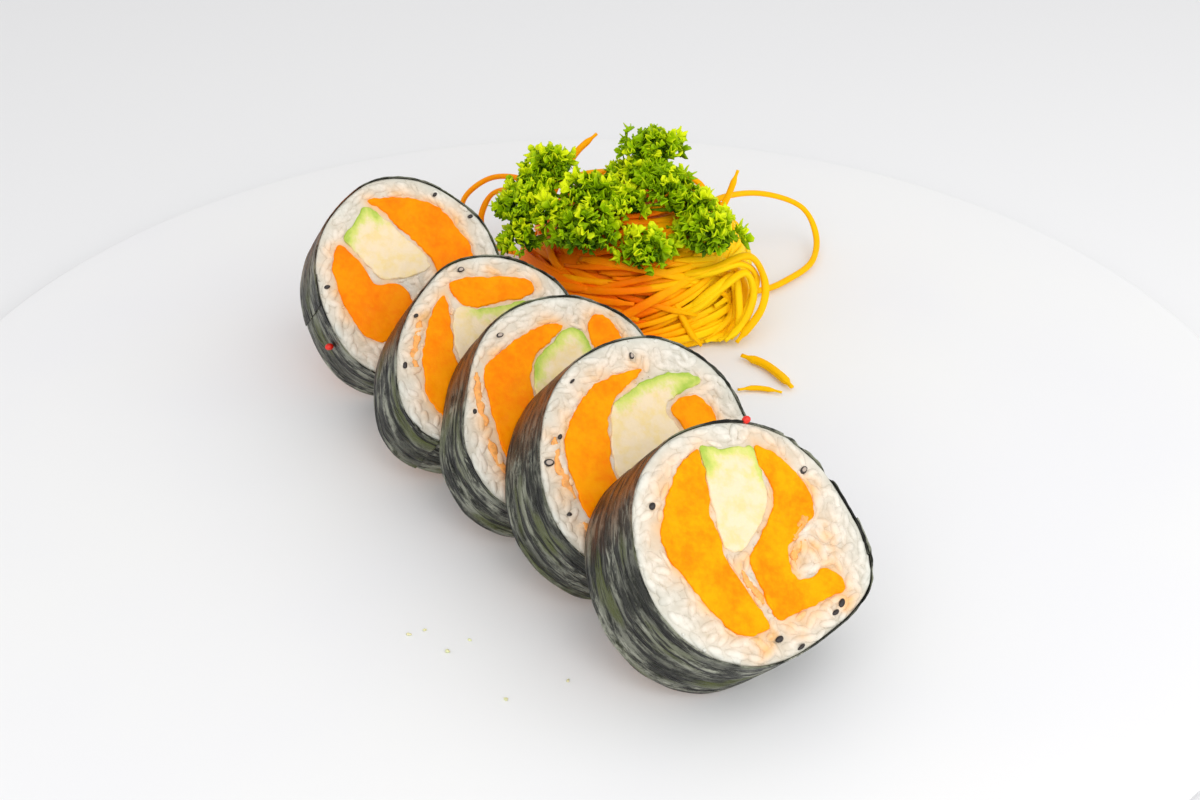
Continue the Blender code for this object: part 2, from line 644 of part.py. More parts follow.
def make_nest(group, paint, obstacles):
    """The heap of carrot shreds: a plain core with strands fused on, none through its neighbours."""
    bpy.ops.mesh.primitive_ico_sphere_add(subdivisions=2, radius=1)
    nest = link(bpy.context.active_object, group)
    nest.name = nest.data.name = "carrot_nest"
    chance = random.Random(5)
    for vert in nest.data.vertices:
        x, y, z = (value * size * NEST_CORE for value, size in zip(vert.co, NEST_RADII))
        vert.co = (x, y, max(z, GAP))
    nest.data.transform(Matrix.Translation(NEST_CENTRE))
    tidy = bmesh.new()
    tidy.from_mesh(nest.data)
    flat = [face for face in tidy.faces if face.calc_center_median().z < NEST_CENTRE.z + GAP * 1.01]
    bmesh.ops.delete(tidy, geom=flat, context="FACES")
    bmesh.ops.contextual_create(tidy, geom=[edge for edge in tidy.edges if edge.is_boundary])
    bmesh.ops.recalc_face_normals(tidy, faces=tidy.faces)
    tidy.to_mesh(nest.data)
    tidy.free()
    tree = world_tree(obstacles)
    shreds = cutters("shreds")
    for name, points in FREE_STRANDS.items():
        path = smooth_curve(np.array(points) * MM, STRAND_STEP, False)
        if is_clear(path, STRAND_RADIUS, tree):
            tube(name, path, STRAND_RADIUS, shreds)
    for number in range(STRAND_TURNS):
        path = coiled_strand(chance)
        if is_clear(path, STRAND_RADIUS, tree):
            tube(f"shred_{number}", path, STRAND_RADIUS, shreds)
    join(nest, "UNION", shreds)
    drop(shreds)
    keep_largest(nest)
    finish(nest, paint)
    return nest


def make_loose_strands(group, paint):
    """The short curls that lie on the plate beside the nest."""
    for name, (points, radius) in LOOSE_STRANDS.items():
        height = PLATE_TOP + radius + STRAND_LIFT
        path = smooth_curve([(x * MM, y * MM, height) for x, y in points], STRAND_STEP, False)
        finish(tube(name, path, radius, group), paint)


def main():
    """Build the whole dish in its own collection."""
    clear_scene()
    dish = bpy.data.collections.new("sweet_potato_maki")
    bpy.context.scene.collection.children.link(dish)
    paints = {
        "plate": material("white_glaze", (0.86, 0.86, 0.85), 0.25),
        "nori": material("nori", (0.035, 0.05, 0.03), 0.5),
        "rice": material("rice", (0.83, 0.80, 0.78), 0.45),
        "potato": material("sweet_potato", (0.95, 0.33, 0.01), 0.45),
        "avocado": material("avocado", (0.78, 0.80, 0.35), 0.45),
        "carrot": material("carrot", (0.95, 0.30, 0.01), 0.4),
        "parsley": material("parsley", (0.16, 0.36, 0.02), 0.5),
    }
    make_plate(dish, paints["plate"])
    for piece in SLICES:
        make_slice(piece, dish, paints)
    make_loose_strands(dish, paints["carrot"])
    make_parsley(dish, paints["parsley"])
    obstacles = [item for item in dish.objects if item.type == "MESH" and item.name != "plate"]
    make_nest(dish, paints["carrot"], obstacles)


if __name__ == "__main__":
    main()
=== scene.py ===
"""Looks of the sweet potato maki: five slices of a thick roll, a carrot nest with parsley, and a plate.

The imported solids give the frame. This script replaces them with finely made pieces: crinkled seaweed
sheets, packed rice grains, moist cut fillings, carrot shreds, curly parsley and a glazed plate.
"""

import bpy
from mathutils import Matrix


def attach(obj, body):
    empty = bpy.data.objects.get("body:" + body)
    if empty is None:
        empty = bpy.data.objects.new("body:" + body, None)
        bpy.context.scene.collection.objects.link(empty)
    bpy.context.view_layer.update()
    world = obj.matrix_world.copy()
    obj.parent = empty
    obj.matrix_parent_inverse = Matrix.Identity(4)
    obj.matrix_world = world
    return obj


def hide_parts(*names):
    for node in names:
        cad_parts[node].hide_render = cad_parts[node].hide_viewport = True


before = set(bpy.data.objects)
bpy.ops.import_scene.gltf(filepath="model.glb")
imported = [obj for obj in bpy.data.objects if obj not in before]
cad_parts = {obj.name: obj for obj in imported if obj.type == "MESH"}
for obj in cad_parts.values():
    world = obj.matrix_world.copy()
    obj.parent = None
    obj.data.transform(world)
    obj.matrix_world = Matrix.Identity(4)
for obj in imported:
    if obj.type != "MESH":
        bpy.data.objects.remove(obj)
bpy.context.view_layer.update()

import logging
import math
from collections.abc import Callable, Sequence
from dataclasses import dataclass, field
from enum import Enum

import bpy
import numpy as np
from mathutils import Matrix, Vector
from mathutils.geometry import delaunay_2d_cdt
from numpy.typing import NDArray

Array = NDArray[np.float64]
Triple = tuple[float, float, float]
Colour = Triple
Points = Sequence[tuple[float, ...]]
Material = bpy.types.Material
Socket = bpy.types.NodeSocket

log = logging.getLogger("maki")
MM = 0.001
TINY = 1e-15
SPAN_STEPS = 24
CLEARANCE = 0.45 * MM
PLATE_TOP = 6 * MM


def srgb(red: int, green: int, blue: int) -> Colour:
    """The linear colour of three screen values from 0 to 255."""
    return tuple((value / 255 / 12.92) if value <= 10 else ((value / 255 + 0.055) / 1.055) ** 2.4
                 for value in (red, green, blue))


def unit(vectors: Array) -> Array:
    """The vectors brought to length 1; the last axis holds their coordinates."""
    return vectors / (np.linalg.norm(vectors, axis=-1, keepdims=True) + TINY)


def run_length(line: Array) -> Array:
    """The distance along a line of points from its first to each."""
    return np.concatenate([[0], np.cumsum(np.linalg.norm(np.diff(line, axis=0), axis=1))])


def spline(points: Points | Array, step: float, closed: bool = False) -> Array:
    """Even points along a Catmull-Rom curve: each span blends its two ends and their neighbours by cubics.

    Args:
        points: The control points in millimetres, of two or three coordinates.
        step: The distance between two points of the result in millimetres.
        closed: Whether the curve joins its start again.

    Returns:
        The points in metres, one row each; a closed curve doesn't repeat its first point.
    """
    knots = np.array(points, float) * MM
    if closed:
        knots = np.vstack([knots[-1:], knots, knots[:2]])
    else:
        knots = np.vstack([2 * knots[0] - knots[1], knots, 2 * knots[-1] - knots[-2]])
    t = np.linspace(0, 1, SPAN_STEPS, endpoint=False)[:, None]
    before, start, end, after = (knots[i:len(knots) - 3 + i, None, :] for i in range(4))
    spans = 0.5 * (2 * start + (end - before) * t + (2 * before - 5 * start + 4 * end - after) * t ** 2
                   + (3 * start - before - 3 * end + after) * t ** 3)
    dense = np.vstack([spans.reshape(-1, knots.shape[1]), knots[-2:-1]])
    run = run_length(dense)
    marks = np.linspace(0, run[-1], max(3, round(run[-1] / (step * MM))) + 1)
    even = np.stack([np.interp(marks, run, axis) for axis in dense.T], axis=1)
    return even[:-1] if closed else even


def waves(points: Array, scale: float, seed: int, terms: int = 14) -> Array:
    """Smooth seeded noise from about -1 to 1: the mean of plane sine waves in random directions.

    Args:
        points: Places, one row each, of two or three coordinates.
        scale: The typical width of a bump, in the units of the places.
        seed: Chooses the directions and phases.
        terms: How many waves are added.

    Returns:
        One value for each place.
    """
    chance = np.random.default_rng(seed)
    way = unit(chance.normal(size=(terms, points.shape[-1])))
    pitch = chance.uniform(0.6, 1.7, terms) * math.pi / scale
    angle = points @ (way * pitch[:, None]).T + chance.uniform(0, 2 * math.pi, terms)
    return np.sin(angle).sum(axis=-1) / math.sqrt(terms)


def turning(loop: Array) -> float:
    """The sign of a closed flat loop's area: 1 where it runs anticlockwise, and -1 where clockwise."""
    ahead = np.roll(loop, -1, axis=0)
    return math.copysign(1, np.sum(loop[:, 0] * ahead[:, 1] - loop[:, 1] * ahead[:, 0]))


def outward(loop: Array) -> Array:
    """Unit normals of a closed flat loop: its tangents turned by a right angle, out of it.

    Args:
        loop: The loop's points, one row each.

    Returns:
        One normal for each point.
    """
    tangent = unit(np.roll(loop, -1, axis=0) - np.roll(loop, 1, axis=0))
    return np.stack([tangent[:, 1], -tangent[:, 0]], axis=1) * turning(loop)


def clearance(places: Array, loop: Array) -> Array:
    """Signed distance to a closed loop, positive inside: nearest point of each edge, even-odd rule.

    Args:
        places: Flat places, one row each.
        loop: The loop's points.

    Returns:
        One distance for each place.
    """
    near = np.full(len(places), np.inf)
    inside = np.zeros(len(places), bool)
    x, y = places[:, 0], places[:, 1]
    for (x0, y0), (x1, y1) in zip(loop, np.roll(loop, -1, axis=0)):
        dx, dy = x1 - x0, y1 - y0
        part = np.clip(((x - x0) * dx + (y - y0) * dy) / (dx * dx + dy * dy + TINY ** 2), 0, 1)
        near = np.minimum(near, np.hypot(x - x0 - part * dx, y - y0 - part * dy))
        if y0 != y1:
            inside ^= ((y0 > y) != (y1 > y)) & (x < dx * (y - y0) / dy + x0)
    return np.where(inside, near, -near)


def gap_to(places: Array, spots: Array | Points) -> Array:
    """The distance of flat places to the nearest of some spots."""
    return np.min([np.hypot(places[:, 0] - x, places[:, 1] - y) for x, y in spots], axis=0)


def scattered(low: Points, high: Points, spacing: float, share: float, chance: np.random.Generator) -> Array:
    """Flat places on a square grid, each moved a little by chance.

    Args:
        low: The grid's lowest corner.
        high: Its highest corner.
        spacing: The grid's spacing.
        share: The most that a place moves, as a share of the spacing.
        chance: The random draws.

    Returns:
        The places, one row each.
    """
    axes = [np.arange(start, end, spacing) for start, end in zip(low, high)]
    grid = np.stack(np.meshgrid(*axes), -1).reshape(-1, 2)
    return grid + chance.uniform(-share, share, grid.shape) * spacing


def taper(count: int, span: float, least: float) -> Array:
    """A share for each point of a line: least at both ends, and 1 from span points inwards."""
    place = np.arange(count)
    return np.clip(np.minimum(place, place[::-1]) / span, least, 1)


def grid_quads(rows: int, columns: int, closed: bool = True) -> Array:
    """Quads of a grid of points stored row by row.

    Args:
        rows: How many rows of points.
        columns: How many points in a row.
        closed: Whether the last column joins the first.

    Returns:
        The quads, one row each.
    """
    strips = columns if closed else columns - 1
    row, column = np.meshgrid(np.arange(rows - 1), np.arange(strips), indexing="ij")
    after = (column + 1) % columns
    here, above = row * columns, (row + 1) * columns
    return np.stack([here + column, here + after, above + after, above + column], axis=-1).reshape(-1, 4)


def tube_quads(rows: int, columns: int) -> Array:
    """Quads of a tube of points stored ring by ring, with a cap of quads across both end rings.

    Args:
        rows: How many rings.
        columns: How many points in a ring, an even number.

    Returns:
        The quads, one row each.
    """
    fan = np.arange(columns // 2 - 1)
    cap = np.stack([fan, fan + 1, columns - 2 - fan, columns - 1 - fan], axis=1)
    return np.vstack([grid_quads(rows, columns), cap[:, ::-1], cap + (rows - 1) * columns])


def repeated(quads: Array, count: int, size: int) -> Array:
    """The quads of count like bodies, whose size points each are stored one body after the other."""
    return (quads[None] + (np.arange(count) * size)[:, None, None]).reshape(-1, 4)


@dataclass
class Surface:
    """Points, faces and named values of a mesh that is being made, in metres."""

    points: Array
    faces: Array
    values: dict[str, Array] = field(default_factory=dict)

    @classmethod
    def joined(cls, parts: "Sequence[Surface]") -> "Surface":
        """Several surfaces as one.

        Args:
            parts: The surfaces, with faces of one kind and values of the same names.

        Returns:
            The joined surface.
        """
        starts = np.cumsum([0] + [len(part.points) for part in parts[:-1]])
        values = {name: np.concatenate([part.values[name] for part in parts]) for name in parts[0].values}
        return cls(np.vstack([part.points for part in parts]),
                   np.vstack([part.faces + start for part, start in zip(parts, starts)]), values)

    def placed(self, place: Matrix) -> "Surface":
        """The surface moved by a matrix."""
        turn = np.array(place.to_3x3())
        return Surface(self.points @ turn.T + np.array(place.translation), self.faces, self.values)

    def piece(self, name: str, material: Material, slot: str, *nodes: str) -> bpy.types.Object:
        """Make the object, and say what it rides on, replaces and takes its finish from.

        Args:
            name: The piece's name.
            material: Its finish.
            slot: The record's material slot; not used.
            nodes: The solids that it stands for.

        Returns:
            The new object, at the origin.
        """
        mesh = bpy.data.meshes.new(name)
        faces = np.asarray(self.faces, np.int32)
        mesh.vertices.add(len(self.points))
        mesh.vertices.foreach_set("co", self.points.astype(np.float32).ravel())
        mesh.loops.add(faces.size)
        mesh.loops.foreach_set("vertex_index", faces.ravel())
        mesh.polygons.add(len(faces))
        mesh.polygons.foreach_set("loop_start", np.arange(0, faces.size, faces.shape[1], dtype=np.int32))
        mesh.polygons.foreach_set("use_smooth", np.full(len(faces), True))
        mesh.update(calc_edges=True)
        for key, numbers in self.values.items():
            layer = mesh.attributes.new(key, "FLOAT", "POINT")
            layer.data.foreach_set("value", np.asarray(numbers, np.float32))
        mesh.validate()
        mesh.materials.append(material)
        item = bpy.data.objects.new(name, mesh)
        bpy.context.scene.collection.objects.link(item)
        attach(item, "root")
        if nodes:
            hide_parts(*nodes)
        log.info("%s: %d faces", name, len(faces))
        return item


class Signal:
    """A number socket that takes part in Python arithmetic by adding Math nodes."""

    def __init__(self, tree: bpy.types.NodeTree, socket: Socket) -> None:
        """Wrap one output socket."""
        self.tree = tree
        self.socket = socket

    def math(self, operation: str, *others: "Signal | float", first: float | None = None) -> "Signal":
        """Add one Math node.

        Args:
            operation: The node's operation.
            others: Its further inputs.
            first: A number that takes the first input in place of this signal, which then comes second.

        Returns:
            The node's output.
        """
        node = self.tree.nodes.new("ShaderNodeMath")
        node.operation = operation
        inputs = [self, *others] if first is None else [first, self, *others]
        for socket, value in zip(node.inputs, inputs):
            if isinstance(value, Signal):
                self.tree.links.new(value.socket, socket)
            else:
                socket.default_value = value
        return Signal(self.tree, node.outputs[0])

    def __add__(self, other: "Signal | float") -> "Signal":
        """Sum."""
        return self.math("ADD", other)

    __radd__ = __add__

    def __sub__(self, other: "Signal | float") -> "Signal":
        """Difference."""
        return self.math("SUBTRACT", other)

    def __rsub__(self, other: float) -> "Signal":
        """A number less this."""
        return self.math("SUBTRACT", first=other)

    def __mul__(self, other: "Signal | float") -> "Signal":
        """Product."""
        return self.math("MULTIPLY", other)

    __rmul__ = __mul__

    def step(self, low: float, high: float) -> "Signal":
        """A smooth ramp.

        Args:
            low: Where it leaves 0.
            high: Where it reaches 1.

        Returns:
            The ramp's value, from 0 to 1.
        """
        node = self.tree.nodes.new("ShaderNodeMapRange")
        node.interpolation_type = "SMOOTHSTEP"
        self.tree.links.new(self.socket, node.inputs["Value"])
        node.inputs["From Min"].default_value = low
        node.inputs["From Max"].default_value = high
        return Signal(self.tree, node.outputs["Result"])


class Paint:
    """The node tree of one finish, built round a Principled shader."""

    def __init__(self, name: str, constants: dict[str, float | Triple]) -> None:
        """Start the material.

        Args:
            name: The material's name.
            constants: Values of the Principled shader's sockets that are the same all over.
        """
        self.material = bpy.data.materials.new(name)
        self.material.use_nodes = True
        self.tree = self.material.node_tree
        self.shader = self.tree.nodes["Principled BSDF"]
        for key, value in constants.items():
            self.put(value, self.shader.inputs[key])

    def node(self, kind: str, settings: dict[str, object] | None = None,
             sockets: dict[str | int, object] | None = None) -> bpy.types.Node:
        """Add one node.

        Args:
            kind: The node's type.
            settings: Its own properties, which are set first.
            sockets: Values or links of its inputs.

        Returns:
            The node.
        """
        node = self.tree.nodes.new(kind)
        for key, value in (settings or {}).items():
            setattr(node, key, value)
        for key, value in (sockets or {}).items():
            self.put(value, node.inputs[key])
        return node

    def put(self, value: object, socket: Socket) -> None:
        """Link or set one input.

        Args:
            value: A signal or socket to link, or a number, vector or colour to set.
            socket: The input.
        """
        if isinstance(value, Signal):
            self.tree.links.new(value.socket, socket)
        elif isinstance(value, Socket):
            self.tree.links.new(value, socket)
        elif socket.type == "RGBA":
            socket.default_value = (*value, 1)
        else:
            socket.default_value = value

    def value(self, name: str) -> Signal:
        """A named value of the mesh."""
        node = self.node("ShaderNodeAttribute", {"attribute_name": name})
        return Signal(self.tree, node.outputs["Fac"])

    def place(self, scale: Triple = (1, 1, 1)) -> Socket:
        """Object coordinates, stretched."""
        coordinates = self.node("ShaderNodeTexCoord").outputs["Object"]
        return self.node("ShaderNodeMapping", {}, {"Vector": coordinates, "Scale": scale}).outputs["Vector"]

    def threads(self, across: Signal, along: Signal, third: float = 0.0) -> Socket:
        """A vector made of three numbers, for patterns that follow the surface's own values."""
        return self.node("ShaderNodeCombineXYZ", {}, {0: across, 1: along, 2: third}).outputs[0]

    def noise(self, scale: float, detail: float = 3.0, roughness: float = 0.55,
              vector: Socket | None = None) -> Signal:
        """Noise from 0 to 1.

        Args:
            scale: Bumps in a unit of the vector.
            detail: How many finer layers it has.
            roughness: How strong they are.
            vector: Where it is read; Object coordinates if not given.

        Returns:
            The noise.
        """
        inputs = {"Scale": scale, "Detail": detail, "Roughness": roughness, "Vector": vector or self.place()}
        return Signal(self.tree, self.node("ShaderNodeTexNoise", {}, inputs).outputs["Fac"])

    def mix(self, share: Signal | float, low: Socket | Colour, high: Socket | Colour) -> Socket:
        """A colour between two."""
        return self.node("ShaderNodeMix", {"data_type": "RGBA"}, {0: share, 6: low, 7: high}).outputs[2]

    def done(self, colour: Socket | Colour, roughness: Signal | float, height: Signal | None = None,
             strength: float = 0.4, distance: float = 0.3 * MM) -> Material:
        """Link the finish together.

        Args:
            colour: The base colour.
            roughness: The roughness.
            height: Relief for a Bump node.
            strength: The bump's strength.
            distance: The bump's depth in metres.

        Returns:
            The finished material.
        """
        self.put(colour, self.shader.inputs["Base Color"])
        self.put(roughness, self.shader.inputs["Roughness"])
        if height is not None:
            relief = {"Strength": strength, "Distance": distance, "Height": height}
            self.put(self.node("ShaderNodeBump", {}, relief).outputs[0], self.shader.inputs["Normal"])
        return self.material


@dataclass(frozen=True)
class NoriFinish:
    """Dry seaweed: a dark sheet of pressed fibres, flecked with paler and greener ones, a little glossy, with
    painted sheen, painted shade in its creases and a painted orange glow.
    """

    dark: Colour = srgb(20, 23, 10)
    # middle: grey patches, partly the sheet's own mottling and partly painted sheen
    middle: Colour = srgb(154, 156, 140)
    pale: Colour = srgb(196, 196, 178)
    olive: Colour = srgb(78, 86, 20)
    # painted shade in the sheet's creases
    crease_shade: Colour = srgb(6, 7, 4)
    # a painted orange reflection on the sheet's upper side
    painted_glow_brown: Colour = srgb(142, 74, 0)

    def material(self) -> Material:
        """Patches, fibres and creases run round the roll: noise stretched along the sheet's own length.

        Returns:
            The material.
        """
        paint = Paint("nori", {"Specular IOR Level": 0.3})
        along, across = paint.value("along"), paint.value("across")
        patch = paint.noise(1.0, 3, 0.6, paint.threads(across * 330, along * 120))
        fibre = paint.noise(1.0, 4, 0.65, paint.threads(across * 1100, along * 260))
        broad = paint.noise(1.0, 2, 0.5, paint.threads(across * 130, along * 60))
        crease_shade = paint.noise(1.0, 3, 0.55, paint.threads(across * 480, along * 55, 3.0))
        grain = paint.noise(1.0, 2, 0.6, paint.threads(across * 2300, along * 1500))
        # Painted sheen: in these zones the sheet is painted grey and its pale fibres brighter, as if it
        # reflected the light
        sheen_zone = paint.noise(1.0, 2, 0.5, paint.threads(across * 110, along * 50, 8.0)).step(0.38, 0.62)
        light = (patch * 0.6 + broad * 0.25 + grain * 0.15).step(0.44, 0.56)
        colour = paint.mix(light * (0.3 + 0.65 * sheen_zone), self.dark, self.middle)
        colour = paint.mix(fibre.step(0.5, 0.66) * (0.1 + 0.45 * sheen_zone), colour, self.pale)
        colour = paint.mix(broad.step(0.48, 0.62) * (0.75 - 0.6 * sheen_zone), colour, self.olive)
        # Painted shade: the creases, which the bump also sinks, are painted near black
        colour = paint.mix(crease_shade.step(0.52, 0.59) * 0.9, colour, self.crease_shade)
        # Painted glow: beside the orange fillings the sheet's upper side is painted darker, then
        # orange-brown, as if lit by their light
        painted_glow = paint.value("painted_glow")
        colour = paint.mix(painted_glow * 0.7, colour, self.dark)
        colour = paint.mix(painted_glow * (0.25 + 0.7 * patch.step(0.4, 0.6)), colour, self.painted_glow_brown)
        height = fibre * 0.4 + patch * 0.9 + broad * 0.6 - crease_shade.step(0.5, 0.66) * 0.9 + grain * 0.15
        return paint.done(colour, 0.26 + 0.34 * fibre, height, 1.0, 1.2 * MM)


@dataclass(frozen=True)
class RiceFinish:
    """Cooked rice: translucent white grains, tinted peach beside the orange fillings, with painted shade
    between them.
    """

    white: Colour = srgb(233, 226, 214)
    grey: Colour = srgb(207, 201, 187)
    peach: Colour = srgb(242, 186, 122)
    tan: Colour = srgb(206, 158, 92)
    shade: Colour = srgb(186, 178, 160)
    green: Colour = srgb(206, 214, 208)
    name: str = "rice"

    def material(self) -> Material:
        """Mesh values say how much juice a grain has taken, how deep it lies, which is painted as shade, and
        how near the sheet is.

        Returns:
            The material.
        """
        paint = Paint(self.name, {"Specular IOR Level": 0.22})
        tone = paint.noise(700, 2) * 0.5 + paint.noise(170, 2) * 0.5
        colour = paint.mix(tone.step(0.36, 0.62), self.grey, self.white)
        colour = paint.mix(paint.value("rim") * 0.8, colour, self.green)
        tint = paint.value("tint")
        colour = paint.mix(tint, colour, self.peach)
        colour = paint.mix(tint * paint.noise(330, 3).step(0.54, 0.68) * 0.8, colour, self.tan)
        # Painted shade: rice lying deeper under the cut face, in the gaps between grains, is painted darker
        colour = paint.mix(paint.value("low") * 0.55, colour, self.shade)
        return paint.done(colour, 0.36 + 0.2 * paint.noise(900, 2), paint.noise(1600, 2), 0.3, 0.15 * MM)


@dataclass(frozen=True)
class PotatoFinish:
    """Moist cooked sweet potato, faintly fibrous, with wet glints."""

    amber: Colour = srgb(255, 167, 0)
    deep: Colour = srgb(248, 130, 0)
    name: str = "sweet_potato"

    def material(self) -> Material:
        """Amber mottled with deeper orange; the gloss comes and goes in patches.

        Returns:
            The material.
        """
        paint = Paint(self.name, {"Subsurface Weight": 0.1, "Subsurface Radius": (1.0, 0.5, 0.02),
                                  "Subsurface Scale": 0.8 * MM, "Specular IOR Level": 0.05})
        tone = paint.noise(160, 4, 0.6) * 0.7 + paint.noise(900, 3, 0.6) * 0.3
        colour = paint.mix(tone.step(0.35, 0.7), self.amber, self.deep)
        fine = paint.noise(1400, 3, 0.6)
        wet = paint.noise(260, 2)
        return paint.done(colour, 0.42 - 0.22 * wet.step(0.5, 0.68), fine * 0.6 + wet * 0.4, 0.4, 0.25 * MM)


@dataclass(frozen=True)
class AvocadoFinish:
    """Ripe avocado: cream flesh that turns green towards its skin side."""

    cream: Colour = srgb(236, 215, 180)
    butter: Colour = srgb(234, 206, 130)
    lime: Colour = srgb(208, 212, 112)
    green: Colour = srgb(164, 190, 70)
    name: str = "avocado"

    def material(self) -> Material:
        """The mesh value skin runs from 0 in the flesh to 1 at the skin side, where it turns streaky.

        Returns:
            The material.
        """
        paint = Paint(self.name, {"Subsurface Weight": 0.12, "Subsurface Radius": (1.0, 0.9, 0.3),
                                  "Subsurface Scale": 1.0 * MM, "Specular IOR Level": 0.2})
        streak = paint.noise(1.0, 3, 0.6, paint.place((900, 900, 160)))
        mottle = paint.noise(330, 3, 0.6)
        skin = paint.value("skin") + 0.55 * (streak - 0.5) + 0.35 * (mottle - 0.5)
        colour = paint.mix(mottle.step(0.4, 0.68) * 0.6, self.cream, self.butter)
        colour = paint.mix(skin.step(0.18, 0.62), colour, self.lime)
        colour = paint.mix(skin.step(0.5, 1.0), colour, self.green)
        fine = paint.noise(800, 4, 0.6)
        return paint.done(colour, 0.42 + 0.2 * paint.noise(500, 2), fine * 0.7 + mottle * 0.3, 0.6, 0.4 * MM)


@dataclass(frozen=True)
class CarrotFinish:
    """Fresh carrot shreds: each has its own tone."""

    pale: Colour = srgb(255, 211, 16)
    amber: Colour = srgb(255, 182, 0)
    deep: Colour = srgb(255, 120, 0)
    name: str = "carrot"

    def material(self) -> Material:
        """The mesh value tone runs from 0, pale, to 1, deep orange.

        Returns:
            The material.
        """
        paint = Paint(self.name, {"Specular IOR Level": 0.06})
        tone = paint.value("tone") + 0.3 * (paint.noise(300, 3) - 0.5)
        colour = paint.mix(tone.step(0.0, 0.5), self.pale, self.amber)
        colour = paint.mix(tone.step(0.45, 1.0), colour, self.deep)
        return paint.done(colour, 0.36 + 0.15 * paint.noise(500, 2), paint.noise(1200, 3), 0.3, 0.2 * MM)


@dataclass(frozen=True)
class ParsleyFinish:
    """Curly parsley: yellow-green lobes with painted highlight over dark green folds with painted shade."""

    light: Colour = srgb(228, 240, 20)
    middle: Colour = srgb(152, 190, 0)
    dark: Colour = srgb(44, 88, 0)
    name: str = "parsley"

    def material(self) -> Material:
        """The mesh value tone runs from 0 in the folds, painted shade, to 1 at the lobes' tips, painted
        highlight.

        Returns:
            The material.
        """
        paint = Paint(self.name, {"Specular IOR Level": 0.1})
        tone = paint.value("tone") + 0.35 * (paint.noise(500, 3) - 0.5)
        # Painted light: dark green in the folds is painted shade, and yellow-green at the tips is painted
        # highlight
        colour = paint.mix(tone.step(0.05, 0.55), self.dark, self.middle)
        colour = paint.mix(tone.step(0.5, 1.0), colour, self.light)
        return paint.done(colour, 0.42, paint.noise(1500, 2), 0.3, 0.2 * MM)


@dataclass(frozen=True)
class SeedFinish:
    """Sesame seeds and flecks: a dark husk with a paler flat side."""

    husk: Colour = srgb(34, 24, 20)
    heart: Colour = srgb(176, 160, 146)
    name: str = "seed"

    def material(self) -> Material:
        """The mesh value heart runs from 0 on the husk to 1 on the pale side.

        Returns:
            The material.
        """
        paint = Paint(self.name, {"Specular IOR Level": 0.5})
        colour = paint.mix(paint.value("heart").step(0.35, 0.65), self.husk, self.heart)
        return paint.done(colour, 0.32 + 0.1 * paint.noise(900, 2), paint.noise(1800, 2), 0.3, 0.1 * MM)


@dataclass(frozen=True)
class GlazeFinish:
    """White glazed porcelain with the faintest unevenness."""

    white: Colour = srgb(238, 238, 238)
    cool: Colour = srgb(236, 236, 238)
    name: str = "white_glaze"

    def material(self) -> Material:
        """A smooth near-white glaze whose gloss varies a little.

        Returns:
            The material.
        """
        paint = Paint(self.name, {"Specular IOR Level": 0.12})
        colour = paint.mix(paint.noise(12, 2).step(0.3, 0.7), self.white, self.cool)
        return paint.done(colour, 0.5 + 0.1 * paint.noise(40, 2), paint.noise(60, 2), 0.04, 0.2 * MM)


@dataclass(frozen=True)
class SpeckFinish:
    """One plain small thing, such as a red roe grain or a crumb."""

    colour: Colour
    name: str
    roughness: float = 0.35

    def material(self) -> Material:
        """A lightly mottled colour.

        Returns:
            The material.
        """
        paint = Paint(self.name, {"Subsurface Weight": 0.2, "Subsurface Scale": 0.6 * MM})
        dark = tuple(value * 0.75 for value in self.colour)
        colour = paint.mix(paint.noise(900, 2).step(0.4, 0.7), self.colour, dark)
        gloss = self.roughness + 0.1 * paint.noise(700, 2)
        return paint.done(colour, gloss, paint.noise(1500, 2), 0.2, 0.1 * MM)


FACE_NET = 0.8 * MM         # spacing of the net on a cut face
POLE = 0.12                 # where a rounded body's first ring lies, in radians from its pole
SIDES = 8                   # points in a shred's section
SHEET_ROWS = 44             # points across a seaweed sheet
SHEET_WALL = 0.24 * MM
SHEET_LAP = 8.4 * MM
SHEET_STEP = 0.34 * MM      # how far the sheet's start lies under its end
# Each of the sheet's dents: depth in mm, stretch along and across it, width in mm, and seed.
SHEET_DENTS = ((0.14, (1, 1.6), 9, 0), (0.10, (0.5, 1.5), 2.4, 3), (0.05, (0.6, 1.3), 1.1, 5))
GLOW = 0.92                 # painted glow: orange light painted on the sheet's upper side, round GLOW_AT across the slice
GLOW_AT = -14 * MM
GLOW_REACH = 10 * MM
JUICE_REACH = 2.3 * MM      # how far the orange goes into the rice
SKIN_REACH = 2.6 * MM       # how far the green goes into the avocado
RICE_INSET = 0.48 * MM      # from the slice's outline to the rice
CORE_SINK = 0.36 * MM       # from the cut face down to the rice's core
FIELD = 30 * MM             # half the grid that grains are laid on
GRAIN_PITCH = 2.3 * MM
GRAIN_WAYS = 8
GRAIN_HALVES = (2.4, 1.9, 1.4, 0.9)
GRAIN_WIDTH = 1.2 * MM


